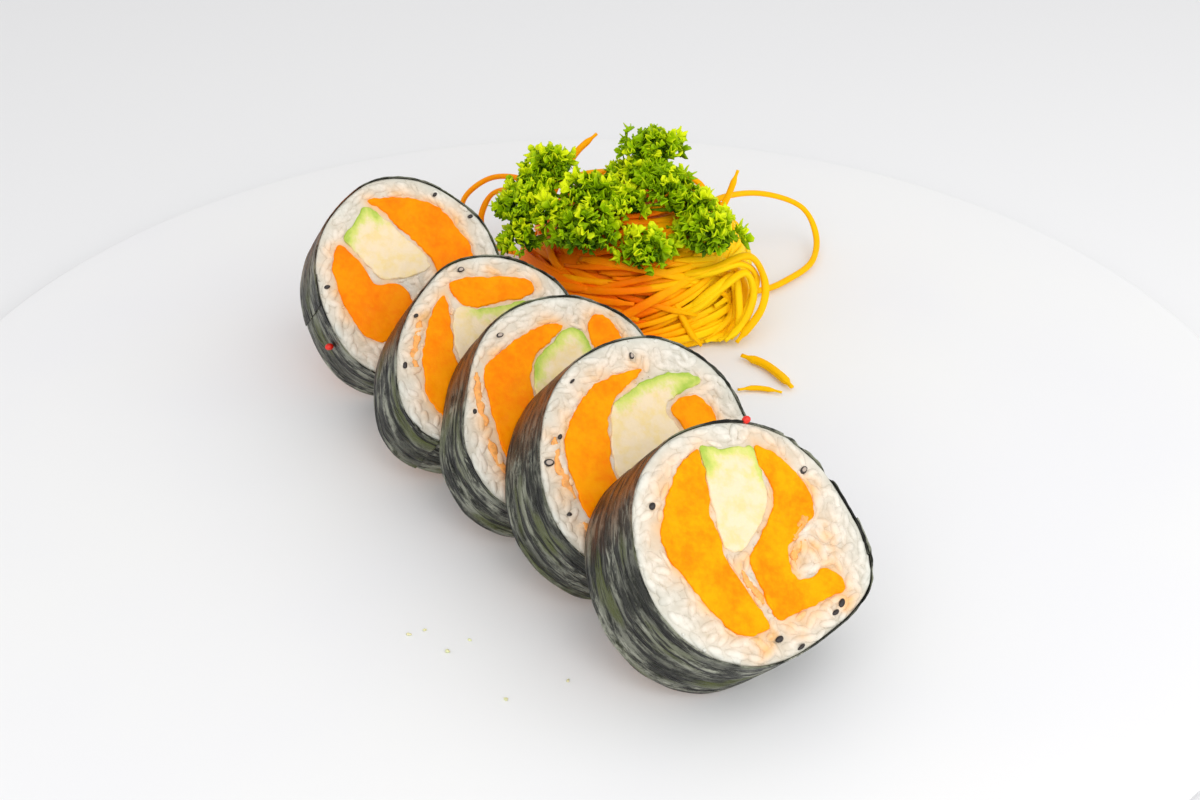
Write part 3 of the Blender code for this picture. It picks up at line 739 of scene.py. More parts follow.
def slab(loop: Array, depth: float, face_height: Callable[[Array], Array], fillet: float) -> Surface:
    """A solid with a flat outline and uneven faces.

    The wall is the outline carried down z, drawn in at both rims on a quarter circle. Each face is a
    net of triangles on a jittered grid inside the rim, raised by a height of its own.

    Args:
        loop: The outline in metres.
        depth: How far the solid runs down from z = 0.
        face_height: Gives the height of flat places on the front; the back mirrors it.
        fillet: The rims' radius.

    Returns:
        The closed surface.
    """
    normal, count = outward(loop), len(loop)
    inner = loop - normal * fillet
    grid = scattered(inner.min(axis=0), inner.max(axis=0), FACE_NET, 0.25, np.random.default_rng(count))
    grid = grid[clearance(grid, inner) > 0.35 * FACE_NET]
    edges = [(i, (i + 1) % count) for i in range(count)]
    flat = np.vstack([inner, grid])
    made = delaunay_2d_cdt([Vector(p) for p in flat], edges, [], 0, 1e-9)
    places = np.array([flat[given[0]] if given else tuple(p) for p, given in zip(made[0], made[3])])
    net = np.array(made[2])
    net = net[clearance(places[net].mean(axis=1), inner) > 0]
    side, other = places[net[:, 1]] - places[net[:, 0]], places[net[:, 2]] - places[net[:, 0]]
    upward = side[:, 0] * other[:, 1] > side[:, 1] * other[:, 0]
    net = np.where(upward[:, None], net, net[:, ::-1])
    rise, edge_rise = face_height(places), face_height(inner)
    rims = []
    for bend in np.linspace(math.pi / 2, 0, 4):
        drop = -fillet * (1 - math.sin(bend))
        rims.append((loop - normal * fillet * (1 - math.cos(bend)), drop + edge_rise * (drop > -fillet)))
    rims += [(ring, -depth - height) for ring, height in reversed(rims)]
    wall = np.vstack([np.column_stack(rim) for rim in rims])
    quads = grid_quads(len(rims), count)
    if turning(loop) > 0:
        quads = quads[:, ::-1]
    return Surface.joined([
        Surface(np.column_stack([places, rise]), net),
        Surface(np.column_stack([places, -depth - rise]), net[:, ::-1]),
        Surface(wall, np.vstack([quads[:, [0, 1, 2]], quads[:, [0, 2, 3]]]))])


def turns_about_z(angles: Array) -> Array:
    """Rotation matrices about z.

    Args:
        angles: The turns in radians.

    Returns:
        One matrix for each.
    """
    c, s, zero = np.cos(angles), np.sin(angles), np.zeros(np.shape(angles))
    rows = [np.stack(row, -1) for row in ((c, -s, zero), (s, c, zero), (zero, zero, zero + 1))]
    return np.stack(rows, -2)


def blobs(places: Array, sizes: Array, turns: Array, rows: int = 7, columns: int = 10,
          lift: Callable[[Array], Array] | None = None) -> Surface:
    """Many small rounded bodies at once: a sphere grid, scaled, turned about z and moved for each.

    Args:
        places: Centres, one row each.
        sizes: Half lengths along x, y and z, one row each.
        turns: Rotation matrices, one for each.
        rows: Rings from pole to pole.
        columns: Points in a ring.
        lift: Reshapes the points of the whole array, if given.

    Returns:
        The joined surface.
    """
    p, r = np.meshgrid(np.linspace(POLE, math.pi - POLE, rows),
                       np.linspace(0, 2 * math.pi, columns, endpoint=False), indexing="ij")
    ball = np.stack([np.cos(p), np.sin(p) * np.cos(r), np.sin(p) * np.sin(r)], axis=-1).reshape(-1, 3)
    points = np.einsum("nij,nkj->nki", turns, ball[None] * sizes[:, None]) + places[:, None]
    if lift is not None:
        points = lift(points)
    quads = tube_quads(rows, columns)[:, ::-1]
    return Surface(points.reshape(-1, 3), repeated(quads, len(places), len(ball)))


def ribbons(paths: Array, ups: Array, widths: Array, thickness: Array) -> Surface:
    """Many shreds at once: a rounded box section carried along each path, with closed ends.

    The section is a circle pushed out towards a square. Its width lies across the path and across the
    given up direction.

    Args:
        paths: Shape (strands, points, 3).
        ups: The outward direction at each point, same shape.
        widths: Half widths, shape (strands, points).
        thickness: Half thicknesses, same shape.

    Returns:
        The joined surface of quads.
    """
    tangent = unit(np.gradient(paths, axis=1))
    across = unit(np.cross(tangent, ups))
    up = np.cross(across, tangent)
    angle = np.linspace(0, 2 * math.pi, SIDES, endpoint=False) + math.pi / SIDES
    section = np.stack([np.cos(angle), np.sin(angle)], axis=1)
    section = np.sign(section) * np.abs(section) ** 0.7
    points = (paths[:, :, None] + across[:, :, None] * (widths[..., None] * section[:, 0])[..., None]
              + up[:, :, None] * (thickness[..., None] * section[:, 1])[..., None])
    count, length = paths.shape[:2]
    quads = tube_quads(length, SIDES)[:, ::-1]
    return Surface(points.reshape(-1, 3), repeated(quads, count, length * SIDES))


def ribbon(path: Array, up: Triple | Array, width: Array, thickness: Array) -> Surface:
    """One shred, with one up direction all along."""
    return ribbons(path[None], np.tile(up, (1, len(path), 1)), width[None], thickness[None])


class Kitchen:
    """The finishes that the pieces share, each made once."""

    def __init__(self) -> None:
        """Make the materials."""
        self.nori = NoriFinish().material()
        self.rice = RiceFinish().material()
        self.avocado = AvocadoFinish().material()
        self.carrot = CarrotFinish().material()
        self.parsley = ParsleyFinish().material()
        self.seed = SeedFinish().material()
        self.glaze = GlazeFinish().material()
        self.roe = SpeckFinish(srgb(232, 40, 22), "roe").material()
        self.crumb = SpeckFinish(srgb(226, 226, 176), "crumb").material()
        self.bit = SpeckFinish(srgb(250, 170, 84), "potato_bit").material()


class Filling(Enum):
    """What a strip in the roll is made of."""

    POTATO = "potato"
    AVOCADO = "avocado"


@dataclass(frozen=True)
class Strip:
    """One filling that runs through a slice: its node, kind and outline in millimetres of the face."""

    node: str
    kind: Filling
    outline: Points
    skin: Points = ()

    def loop(self, earlier: Sequence[Array]) -> Array:
        """The outline, a little ragged, pushed clear of the strips that are there already.

        Args:
            earlier: Their outlines.

        Returns:
            The outline's points in metres.
        """
        loop = spline(self.outline, 0.5, True)
        ragged = 0.14 * waves(loop / MM, 1.5, len(self.node)) + 0.15 * waves(loop / MM, 4.0, 7)
        loop += outward(loop) * ragged[:, None] * MM
        for other in earlier:
            into = np.maximum(clearance(loop, other) + 0.12 * MM, 0)
            near = np.argmin(np.linalg.norm(loop[:, None] - other[None], axis=2), axis=1)
            loop += outward(other)[near] * into[:, None]
        return loop


@dataclass(frozen=True)
class Seed:
    """A seed or fleck on the rice: place, length, width and turn in the face, in millimetres and degrees."""

    x: float
    y: float
    length: float
    width: float
    turn: float
    pale: bool = True


@dataclass
class RollSlice:
    """One cut slice that leans on the plate; its outlines are millimetres in the frame of its face."""

    number: int
    x: float
    y: float
    yaw: float
    lean: float
    thickness: float
    seam: float
    outline: Points
    strips: Sequence[Strip]
    seeds: Sequence[Seed]
    roe: Points = ()
    stripes: Sequence[Points] = ()
    stains: Points = ()
    torn: tuple[float, float] = (0.0, 0.0)
    # Slices further back take deeper orange copies of this finish: painted shade
    potato: PotatoFinish = PotatoFinish()

    def __post_init__(self) -> None:
        """Work out the slice's place from the height at which its lowest edge meets the plate."""
        lean = math.radians(self.lean)
        lowest = spline(self.outline, 5, True)[:, 1].min()
        self.depth = self.thickness * MM
        rise = self.depth * math.sin(lean) - lowest * math.cos(lean)
        spot = Matrix.Translation((self.x * MM, self.y * MM, PLATE_TOP + CLEARANCE + rise))
        turn = Matrix.Rotation(math.radians(self.yaw), 4, "Z") @ Matrix.Rotation(math.pi / 2 - lean, 4, "X")
        self.place = spot @ turn
        rim = spline(self.outline, 0.35, True)
        self.rim = np.roll(rim, -int(np.argmin(np.abs(self.bearing(rim) - self.seam))), axis=0)
        self.loops: dict[str, Array] = {}
        for strip in self.strips:
            self.loops[strip.node] = strip.loop(list(self.loops.values()))

    @staticmethod
    def bearing(line: Array) -> Array:
        """The angle of flat places round the middle of the face, in degrees."""
        return np.degrees(np.arctan2(line[:, 1], line[:, 0])) % 360

    def nori_inset(self) -> Array:
        """How far the sheet lies inside the outline: its first stretch runs under its end."""
        return SHEET_STEP * (1 - np.clip((run_length(self.rim) / MM - 8) / 12, 0, 1))

    def add(self, surface: Surface, name: str, material: Material, slot: str, *nodes: str) -> None:
        """Put a surface that was made in the frame of the face in its place, as a piece of the slice."""
        surface.placed(self.place).piece(name, material, slot, *nodes)

    def nori(self, material: Material) -> None:
        """The seaweed sheet: a thin closed band rolled once round and lapped over its own start.

        Along the roll's outline, the band's section goes down its outer side and back up its inner side.
        Waves push it in by up to 0.4 mm, and its front edge swings by 0.3 mm.

        Args:
            material: The sheet's finish.
        """
        lap = run_length(self.rim) < SHEET_LAP
        normal = outward(self.rim)
        path = np.vstack([self.rim - normal * self.nori_inset()[:, None], self.rim[lap]])
        normal = np.vstack([normal, normal[lap]])
        run, angle = run_length(path), self.bearing(path)
        fall = np.linspace(0, 1, SHEET_ROWS)
        place = np.column_stack([run / MM, np.zeros(len(run))])
        tear = ((angle > self.torn[0]) & (angle < self.torn[1])) * 0.8 * waves(place, 2.6, self.number + 30)
        swing = 0.16 * waves(place, 5, self.number) + 0.10 * waves(place, 1.3, self.number + 9)
        front = (0.06 + swing + np.minimum(tear, 0)) * MM
        back = -self.depth - 0.1 * MM + 0.1 * MM * waves(place, 4, self.number + 20)
        height = front[:, None] * (1 - fall) + back[:, None] * fall
        spot = np.stack(np.broadcast_arrays(run[:, None], height), axis=-1) / MM
        dent = sum(deep * waves(spot * stretch, width, self.number + seed)
                   for deep, stretch, width, seed in SHEET_DENTS)
        edge = np.clip(np.minimum(fall, 1 - fall) * 12, 0.3, 1)
        push = (-0.12 + np.clip(dent, -0.26, 0.12) * edge) * MM
        flat = path[:, None] + normal[:, None] * push[..., None]
        outer = np.concatenate([flat, height[..., None]], axis=-1)
        inner = outer.copy()
        inner[..., :2] -= normal[:, None] * SHEET_WALL
        band = np.concatenate([outer, inner[:, ::-1]], axis=1)
        across = np.concatenate([height, height[:, ::-1]], axis=1)
        # Painted glow: marks the upper side of the sheet round GLOW_AT for an orange-brown glow painted on
        beside = np.abs(band[..., 0] - GLOW_AT) / GLOW_REACH
        painted_glow = GLOW * np.clip(1.3 * (1 - beside), 0, 1) * (band[..., 1] > 0)
        along = np.repeat(run, 2 * SHEET_ROWS) + self.number
        sheet = Surface(band.reshape(-1, 3), tube_quads(len(path), 2 * SHEET_ROWS),
                        {"along": along, "across": across.ravel(), "painted_glow": painted_glow.ravel()})
        self.add(sheet, f"nori_sheet_{self.number}", material, "nori", f"nori_{self.number}")

    def tint(self, places: Array) -> Array:
        """How peach the rice is: strongest beside the orange strips, in uneven patches.

        Args:
            places: Flat places in metres.

        Returns:
            A share for each.
        """
        near = np.full(len(places), np.inf)
        for strip in self.strips:
            if strip.kind is Filling.POTATO:
                near = np.minimum(near, -clearance(places, self.loops[strip.node][::4]))
        for points in self.stripes:
            near = np.minimum(near, gap_to(places, spline(points, 1.5)))
        patch = 0.5 + 0.5 * waves(places / MM, 5, self.number + 40)
        juice = np.exp(-np.maximum(near, 0) / JUICE_REACH) * (0.35 + 0.8 * patch)
        for x, y, reach in self.stains:
            stain = 0.7 * np.exp(-(gap_to(places / MM, [(x, y)]) / reach) ** 2)
            juice = juice + stain * (0.6 + 0.4 * waves(places / MM, 2.2, self.number + 60))
        return np.clip(juice, 0, 1)

    def shade(self, surface: Surface, edge: Array, face: float) -> None:
        """Give rice its values: juice, nearness to the sheet, and depth under a face, which the finish paints
        as shade.

        Args:
            surface: The rice, in the frame of the face.
            edge: The rice's outline in metres.
            face: The height of the face that the depth is measured from.
        """
        flat = surface.points[:, :2]
        surface.values["tint"] = self.tint(flat)
        surface.values["rim"] = np.exp(-np.maximum(clearance(flat, edge[::2]), 0) / (1.3 * MM))
        # low: depth under the face, turned into painted shade between the grains by the finish
        surface.values["low"] = np.clip((np.abs(surface.points[:, 2] - face) / MM - 0.05) / 0.5, 0, 1)

    def rice(self, material: Material) -> None:
        """The rice: a lumpy core, and grains pressed into both cut faces and shorn by the knife.

        Args:
            material: The rice's finish.
        """
        inset = self.nori_inset() + RICE_INSET
        edge = (self.rim - outward(self.rim) * inset[:, None])[::3]
        core = slab(edge, self.depth - 2 * CORE_SINK, self.core_height, 0.4 * MM)
        core.points[:, 2] -= CORE_SINK
        self.shade(core, edge, 0.0)
        self.add(core, f"rice_core_{self.number}", material, "rice", f"rice_{self.number}")
        front = self.grains(edge, self.number, 0.0)
        back = self.grains(edge, self.number + 50, -self.depth)
        back.points[:, 2] = -2 * self.depth - back.points[:, 2]
        back.faces = back.faces[:, ::-1]
        self.shade(front, edge, 0.0)
        self.shade(back, edge, -self.depth)
        self.add(Surface.joined([front, back]), f"rice_grains_{self.number}", material, "rice")

    def core_height(self, places: Array) -> Array:
        """The core's relief: low lumps, and a step down where a strip of filling covers it."""
        lumps = 0.07 * waves(places / MM, 1.8, self.number) + 0.06 * waves(places / MM, 5, self.number + 2)
        return np.where(self.beside_strips(places) < -0.5 * MM, -0.7, lumps) * MM

    def beside_strips(self, places: Array) -> Array:
        """The distance of flat places to the nearest strip, negative inside it."""
        return np.min([-clearance(places, loop[::3]) for loop in self.loops.values()], axis=0)

    def free(self, places: Array, edge: Array) -> Array:
        """The room round flat places between the rice's outline and the strips."""
        return np.minimum(clearance(places, edge[::2]), self.beside_strips(places))

    def grains(self, edge: Array, seed: int, level: float) -> Surface:
        """Grains on one face: jittered places that fit between the sheet and the strips.

        Each grain tries eight directions and four lengths, and keeps the longest that fits. Its width
        is no more than the room beside it. The knife flattens what would stand proud of the face.

        Args:
            edge: The rice's outline in metres.
            seed: Chooses the draws.
            level: The height of the face.

        Returns:
            The grains.
        """
        chance = np.random.default_rng(seed)
        spots = scattered((-FIELD, -FIELD), (FIELD, FIELD), GRAIN_PITCH, 0.45, chance)
        spots = spots[self.free(spots, edge) > 0.45 * MM]
        count = len(spots)
        each = np.arange(count)
        ways = chance.uniform(0, math.pi, (count, 1)) + np.arange(GRAIN_WAYS) * math.pi / GRAIN_WAYS
        halves = np.array(GRAIN_HALVES) * MM
        reach = np.stack([np.cos(ways), np.sin(ways)], -1)[:, None] * halves[:, None, None] * 0.8
        ends = np.stack([spots[:, None, None] + reach, spots[:, None, None] - reach], axis=3)
        room = self.free(ends.reshape(-1, 2), edge).reshape(ends.shape[:-1]).min(axis=3).reshape(count, -1)
        fits = room > 0.55 * MM
        lies = fits.any(axis=1)
        pick = np.where(lies, fits.argmax(axis=1), fits.shape[1] - 1)
        half = halves[pick // GRAIN_WAYS] * chance.uniform(0.9, 1.1, count)
        wide = np.minimum(GRAIN_WIDTH * chance.uniform(0.85, 1.15, count), self.free(spots, edge))
        wide = np.minimum(wide, np.maximum(room[each, pick], 0.1 * MM) / 0.6)
        sizes = np.stack([np.where(lies, half, wide), wide, np.full(count, 0.95 * MM)], axis=1)
        depth = level - chance.uniform(0.6, 0.98, count) * MM
        cut = level + chance.uniform(-0.16, 0.16, count)[:, None] * MM

        def shear(points: Array) -> Array:
            """Press what stands over the knife's level down to a quarter."""
            points[..., 2] -= np.maximum(points[..., 2] - cut, 0) * 0.75
            return points

        turns = turns_about_z(ways[each, pick % GRAIN_WAYS])
        return blobs(np.column_stack([spots, depth]), sizes, turns, lift=shear)

    def fill(self, avocado: Material) -> None:
        """The strips of filling, each a moist solid with soft rims.

        Args:
            avocado: The avocado's finish.
        """
        potato = self.potato.material()
        for strip in self.strips:
            orange = strip.kind is Filling.POTATO
            seed, lump = len(strip.node) + self.number, 0.07 if orange else 0.12
            made = slab(self.loops[strip.node], self.depth, lambda p: lump * MM * waves(p / MM, 3.2, seed)
                        + 0.05 * MM * waves(p / MM, 0.9, seed + 1), 0.35 * MM)
            if not orange:
                gap = gap_to(made.points[:, :2], spline(strip.skin, 0.5))
                made.values["skin"] = np.exp(-gap / SKIN_REACH)
            self.add(made, f"{strip.node}_flesh", potato if orange else avocado, strip.kind.value, strip.node)

    def toppings(self, kitchen: Kitchen) -> None:
        """Seeds pressed into the rice, and grains of roe: slightly uneven rounded bodies.

        Args:
            kitchen: The finishes.
        """
        places = np.array([(seed.x, seed.y, 0.12) for seed in self.seeds]) * MM
        sizes = np.array([(seed.length / 2, seed.width / 2, 0.4) for seed in self.seeds]) * 0.85 * MM
        turns = turns_about_z(np.radians([seed.turn for seed in self.seeds]))
        made = blobs(places, sizes, turns, 11, 14)
        local = made.points.reshape(len(self.seeds), -1, 3) - places[:, None]
        local = np.einsum("nji,nkj->nki", turns, local) / sizes[:, None]
        pale = np.array([seed.pale for seed in self.seeds])[:, None]
        heart = np.clip(1.35 - np.hypot(local[..., 0], local[..., 1]) * 1.35, 0, 1)
        made.values["heart"] = (heart * (local[..., 2] > 0) * pale).ravel()
        made.points += 0.07 * MM * waves(made.points / MM, 1.3, self.number + 3)[:, None]
        self.add(made, f"seeds_{self.number}", kitchen.seed, "rice")
        if self.roe:
            balls = np.array(self.roe)
            turns = turns_about_z(np.radians(balls[:, 5]))
            dots = blobs(balls[:, :3] * MM, balls[:, [3, 4, 4]] * MM, turns, 9, 12)
            self.add(dots, f"roe_{self.number}", kitchen.roe, "rice")

    def trimmings(self, material: Material) -> None:
        """Thin orange shreds that show in the rice: flat ribbons whose width comes and goes.

        Args:
            material: Their finish.
        """
        parts = []
        for number, points in enumerate(self.stripes):
            path = spline(points, 0.4)
            place = np.column_stack([path / MM, np.full(len(path), 7.0 * number)])
            path = path + 0.2 * MM * np.column_stack([waves(place, 2.2, 5), waves(place, 2.2, 6)])
            path = np.column_stack([path, np.full(len(path), -0.14 * MM)])
            wide = (0.8 + 0.25 * waves(place, 2.6, 8) + 0.12 * waves(place, 0.8, 9)) * MM
            wide = wide * taper(len(path), 3, 0.35)
            parts.append(ribbon(path, (0, 0, 1.0), wide, np.full(len(path), 0.18 * MM)))
        if parts:
            self.add(Surface.joined(parts), f"potato_bits_{self.number}", material, "rice")

    def build(self, kitchen: Kitchen) -> None:
        """Make every piece of the slice.

        Args:
            kitchen: The finishes.
        """
        self.nori(kitchen.nori)
        self.rice(kitchen.rice)
        self.fill(kitchen.avocado)
        self.toppings(kitchen)
        self.trimmings(kitchen.bit)


@dataclass
class Plate:
    """The plain round plate, turned from its section."""

    radius: float = 176 * MM
    well: float = 118 * MM
    foot: float = 105 * MM
    hole: float = 0.4 * MM
    rim_height: float = 7 * MM
    rim_thickness: float = 3.4 * MM
    steps: int = 288

    def section(self) -> Array:
        """The section from the top's centre over the rim to the foot's centre.

        Returns:
            Radius and height, one row for each point.
        """
        rim = self.rim_thickness / 2
        part = np.linspace(0, 1, 14)
        rise = np.column_stack([self.well + part * (self.radius - rim - self.well),
                                PLATE_TOP + (self.rim_height - PLATE_TOP) * part ** 2 * (3 - 2 * part)])
        angle = np.linspace(0.15, math.pi, 12)
        lip = np.column_stack([self.radius - rim + rim * np.sin(angle),
                               self.rim_height - rim + rim * np.cos(angle)])
        top = np.column_stack([np.linspace(self.hole, self.well * 0.97, 14), np.full(14, PLATE_TOP)])
        under = [(self.foot + 6 * MM, 1.6 * MM), (self.foot + 1.5 * MM, 0.3 * MM), (self.foot, 0),
                 (self.foot * 0.5, 0), (self.hole, 0)]
        return np.vstack([top, rise, lip, under])

    def build(self, kitchen: Kitchen) -> None:
        """The section turned round z, closed by a small cap at both poles.

        Args:
            kitchen: The finishes.
        """
        radius, height = self.section().T[..., None]
        angle = np.linspace(0, 2 * math.pi, self.steps, endpoint=False)
        points = np.stack([radius * np.cos(angle), radius * np.sin(angle), height + 0 * angle], axis=-1)
        quads = tube_quads(len(radius), self.steps)[:, ::-1]
        Surface(points.reshape(-1, 3), quads).piece("plate_glaze", kitchen.glaze, "plate", "plate")


@dataclass
class CarrotNest:
    """The heap of carrot shreds: strands wound over a core, with free loops and tips, in millimetres."""

    centre: Triple = (13, 68, 6)
    radii: Triple = (33, 35, 34)
    bundles: int = 17
    together: int = 8
    stray: int = 34
    length: int = 60
    free: Sequence[Points] = (
        ((32, 76, 26), (38, 82, 29.4), (51, 92, 26.2), (64, 97, 19.4), (69, 95, 10.9), (66.5, 82, 8.4),
         (58, 71, 8.2), (50, 65, 8.2), (38, 60, 10)),
        ((18, 50, 28), (20.6, 42, 26.8), (23.9, 38, 19), (27.8, 35, 11.8), (31, 33.5, 8.2)),
        ((-12, 82, 26), (-18.6, 86, 33), (-29, 92, 31.4), (-37.6, 94, 24), (-39, 96, 14), (-34, 95, 8.4),
         (-16, 84, 8.6)),
        ((-12, 80, 22), (-19.2, 82, 31), (-24.8, 88, 29.4), (-30, 92, 25.2), (-33, 92, 17), (-30, 90, 8.6)),
        ((-10, 84, 24), (-4.4, 87, 33.7), (8.9, 90, 34.5), (20.8, 91, 34), (32.5, 87, 31.7), (36, 80, 22)),
        ((-13, 73, 24), (-10.5, 78, 33), (-6.8, 82, 39), (-3.4, 85, 43.3), (2.1, 88, 47.3)),
        ((32, 72, 22), (39, 77, 30), (43, 81, 39)))
    arches: Sequence[Points] = (
        ((14, 50, 20), (25, 43, 26), (34.5, 42.5, 28.7), (43.7, 45, 28.9), (48.5, 46, 22.6), (46, 42, 14.7),
         (41, 36, 8.6)),
        ((16, 46, 14), (27.7, 39, 18), (36, 40, 22.6), (42, 43, 25.6), (45.6, 44, 19.3), (43.4, 40, 12),
         (37, 35, 8.6)))
    nested: int = 6
    thick_curl: Points = ((41.8, 29.6), (47.5, 25.2), (51.5, 19), (54, 13.4))
    thin_curl: Points = ((39.6, 12.9), (44, 13.8), (48, 13), (51.2, 11.6))

    def core(self) -> Surface:
        """The middle of the heap: an ellipsoid with waves, flat underneath.

        Returns:
            The core, a little smaller than the heap.
        """
        ball = blobs(np.zeros((1, 3)), np.ones((1, 3)), turns_about_z(np.zeros(1)), 25, 48)
        points = ball.points[:, [1, 2, 0]] * self.radii * 0.965
        points *= 1 + 0.05 * waves(points, 9, 2)[:, None]
        points[:, 2] = np.maximum(points[:, 2], 0.4)
        ball.points = (points + self.centre) * MM
        ball.values["tone"] = self.depth_of_tone(points / self.radii)
        return ball

    @staticmethod
    def depth_of_tone(local: Array) -> Array:
        """How deep the orange is: most at the front left, paler to the right, and amber at the back.

        Args:
            local: Places as shares of the heap's half lengths.

        Returns:
            The tone of each, from 0 to 1.
        """
        right = 1.4 * np.maximum(local[..., 0] - 0.05, 0) * np.clip(1 - 1.2 * local[..., 1], 0.25, 1)
        back = 0.55 * np.clip(local[..., 1] * 2, 0, 1)
        return np.clip(1.0 - right - back - 0.15 * (1 - local[..., 2]), 0, 1)

    def wound(self) -> Surface:
        """Strands that wind round the heap: arcs of tilted circles, drawn to its surface.

        The strands of a bundle share a circle and lie a little apart, and stray ones cross them. A slow
        wave lifts each off and on, and what would sink into the plate runs along it.

        Returns:
            The strands.
        """
        chance = np.random.default_rng(31)
        alone = np.arange(self.bundles * self.together, self.bundles * self.together + self.stray)
        owner = np.concatenate([np.repeat(np.arange(self.bundles), self.together), alone])
        count, length = len(owner), self.length
        shared = chance.uniform(0, 1, (owner.max() + 1, 4))[owner]
        single = chance.normal(0, 1, (count, 6))
        start = 2 * math.pi * shared[:, :1] + 0.25 * single[:, :1]
        way = np.where(shared[:, 1:2] > 0.5, 1, -1)
        sweep = (1.6 + 3.0 * shared[:, 1:2] + 0.3 * single[:, 1:2]) * way
        angle = start + sweep * np.linspace(0, 1, length)
        slope = np.where(owner < self.bundles, 0.35, 0.7)[:, None]
        tilt, lean = (slope * (shared[:, i:i + 1] * 2 - 1) + 0.07 * single[:, i:i + 1] for i in (2, 3))
        level = np.abs((owner % self.bundles) / self.bundles * 0.95 + 0.05 * single[:, 4])[:, None]
        ring = np.sqrt(np.clip(1 - level ** 2, 0.06, 1))
        x, y = np.cos(angle) * ring, np.sin(angle) * ring
        ball = np.stack([x, y, level + x * tilt + y * lean], axis=-1)
        size = np.linalg.norm(ball, axis=-1, keepdims=True)
        reach = chance.uniform(0.975, 1.025, (count, 1, 1))
        wobble = 1 + 0.03 * np.sin(angle * (2.5 + single[:, 5:6]) + start * 3)[..., None]
        points = ball / size * np.clip(size, 0.96, 1.03) * reach * wobble * self.radii
        floor = 1.2 + chance.uniform(0, 4.0, (count, 1))
        points[..., 2] = np.maximum(points[..., 2], floor + 0.4 * np.sin(angle * 3))
        ups = points / np.array(self.radii) ** 2
        ups[..., 2] = np.maximum(ups[..., 2], 0.004)
        ends = taper(length, 3, 0.55) * MM
        wide = chance.uniform(0.75, 1.35, (count, 1)) * ends
        thick = chance.uniform(0.32, 0.5, (count, 1)) * ends
        made = ribbons((points + self.centre) * MM, unit(ups), wide, thick)
        tone = self.depth_of_tone(points / self.radii) + chance.uniform(-0.22, 0.12, (count, 1))
        made.values["tone"] = np.repeat(np.clip(tone, 0, 1).ravel(), SIDES)
        return made

    def strand(self, points: Points | Array, half_width: float, tone: float) -> Surface:
        """One strand through given points, its flat side up where it lies.

        Args:
            points: Its points in millimetres.
            half_width: Half its width in millimetres.
            tone: How deep its orange is, from 0 to 1.

        Returns:
            The strand.
        """
        path = spline(points, 0.9)
        wide = half_width * MM * taper(len(path), 4, 0.5)
        made = ribbon(path, (0.15, -0.3, 0.94), wide, wide * 0.7)
        made.values["tone"] = np.full(len(made.points), tone)
        return made

    def build(self, kitchen: Kitchen) -> None:
        """The heap as one piece, and the loose curls on the plate.

        Args:
            kitchen: The finishes.
        """
        parts = [self.core(), self.wound()]
        for points in self.free:
            side = np.mean(np.array(points)[:, 0])
            parts.append(self.strand(points, 0.95, float(np.interp(side, (-30, 50), (0.75, 0.35)))))
        chance = np.random.default_rng(4)
        for points in self.arches:
            for number in range(self.nested):
                shifted = np.array(points) + number * np.array((-2.1, 0.7, -1.7))
                shifted += chance.normal(0, 0.7, shifted.shape)
                shifted[:, 2] = np.maximum(shifted[:, 2], 8.2)
                parts.append(self.strand(shifted, 1.1, chance.uniform(0.0, 0.3)))
        Surface.joined(parts).piece("carrot_shreds", kitchen.carrot, "carrot", "carrot_nest")
        for node, points, half in (("carrot_curl_thick", self.thick_curl, 1.25),
                                   ("carrot_curl_thin", self.thin_curl, 0.75)):
            line = [(x, y, PLATE_TOP / MM + half + 0.35) for x, y in points]
            self.strand(line, half, 0.3).piece(f"{node}_shred", kitchen.carrot, "carrot", node)


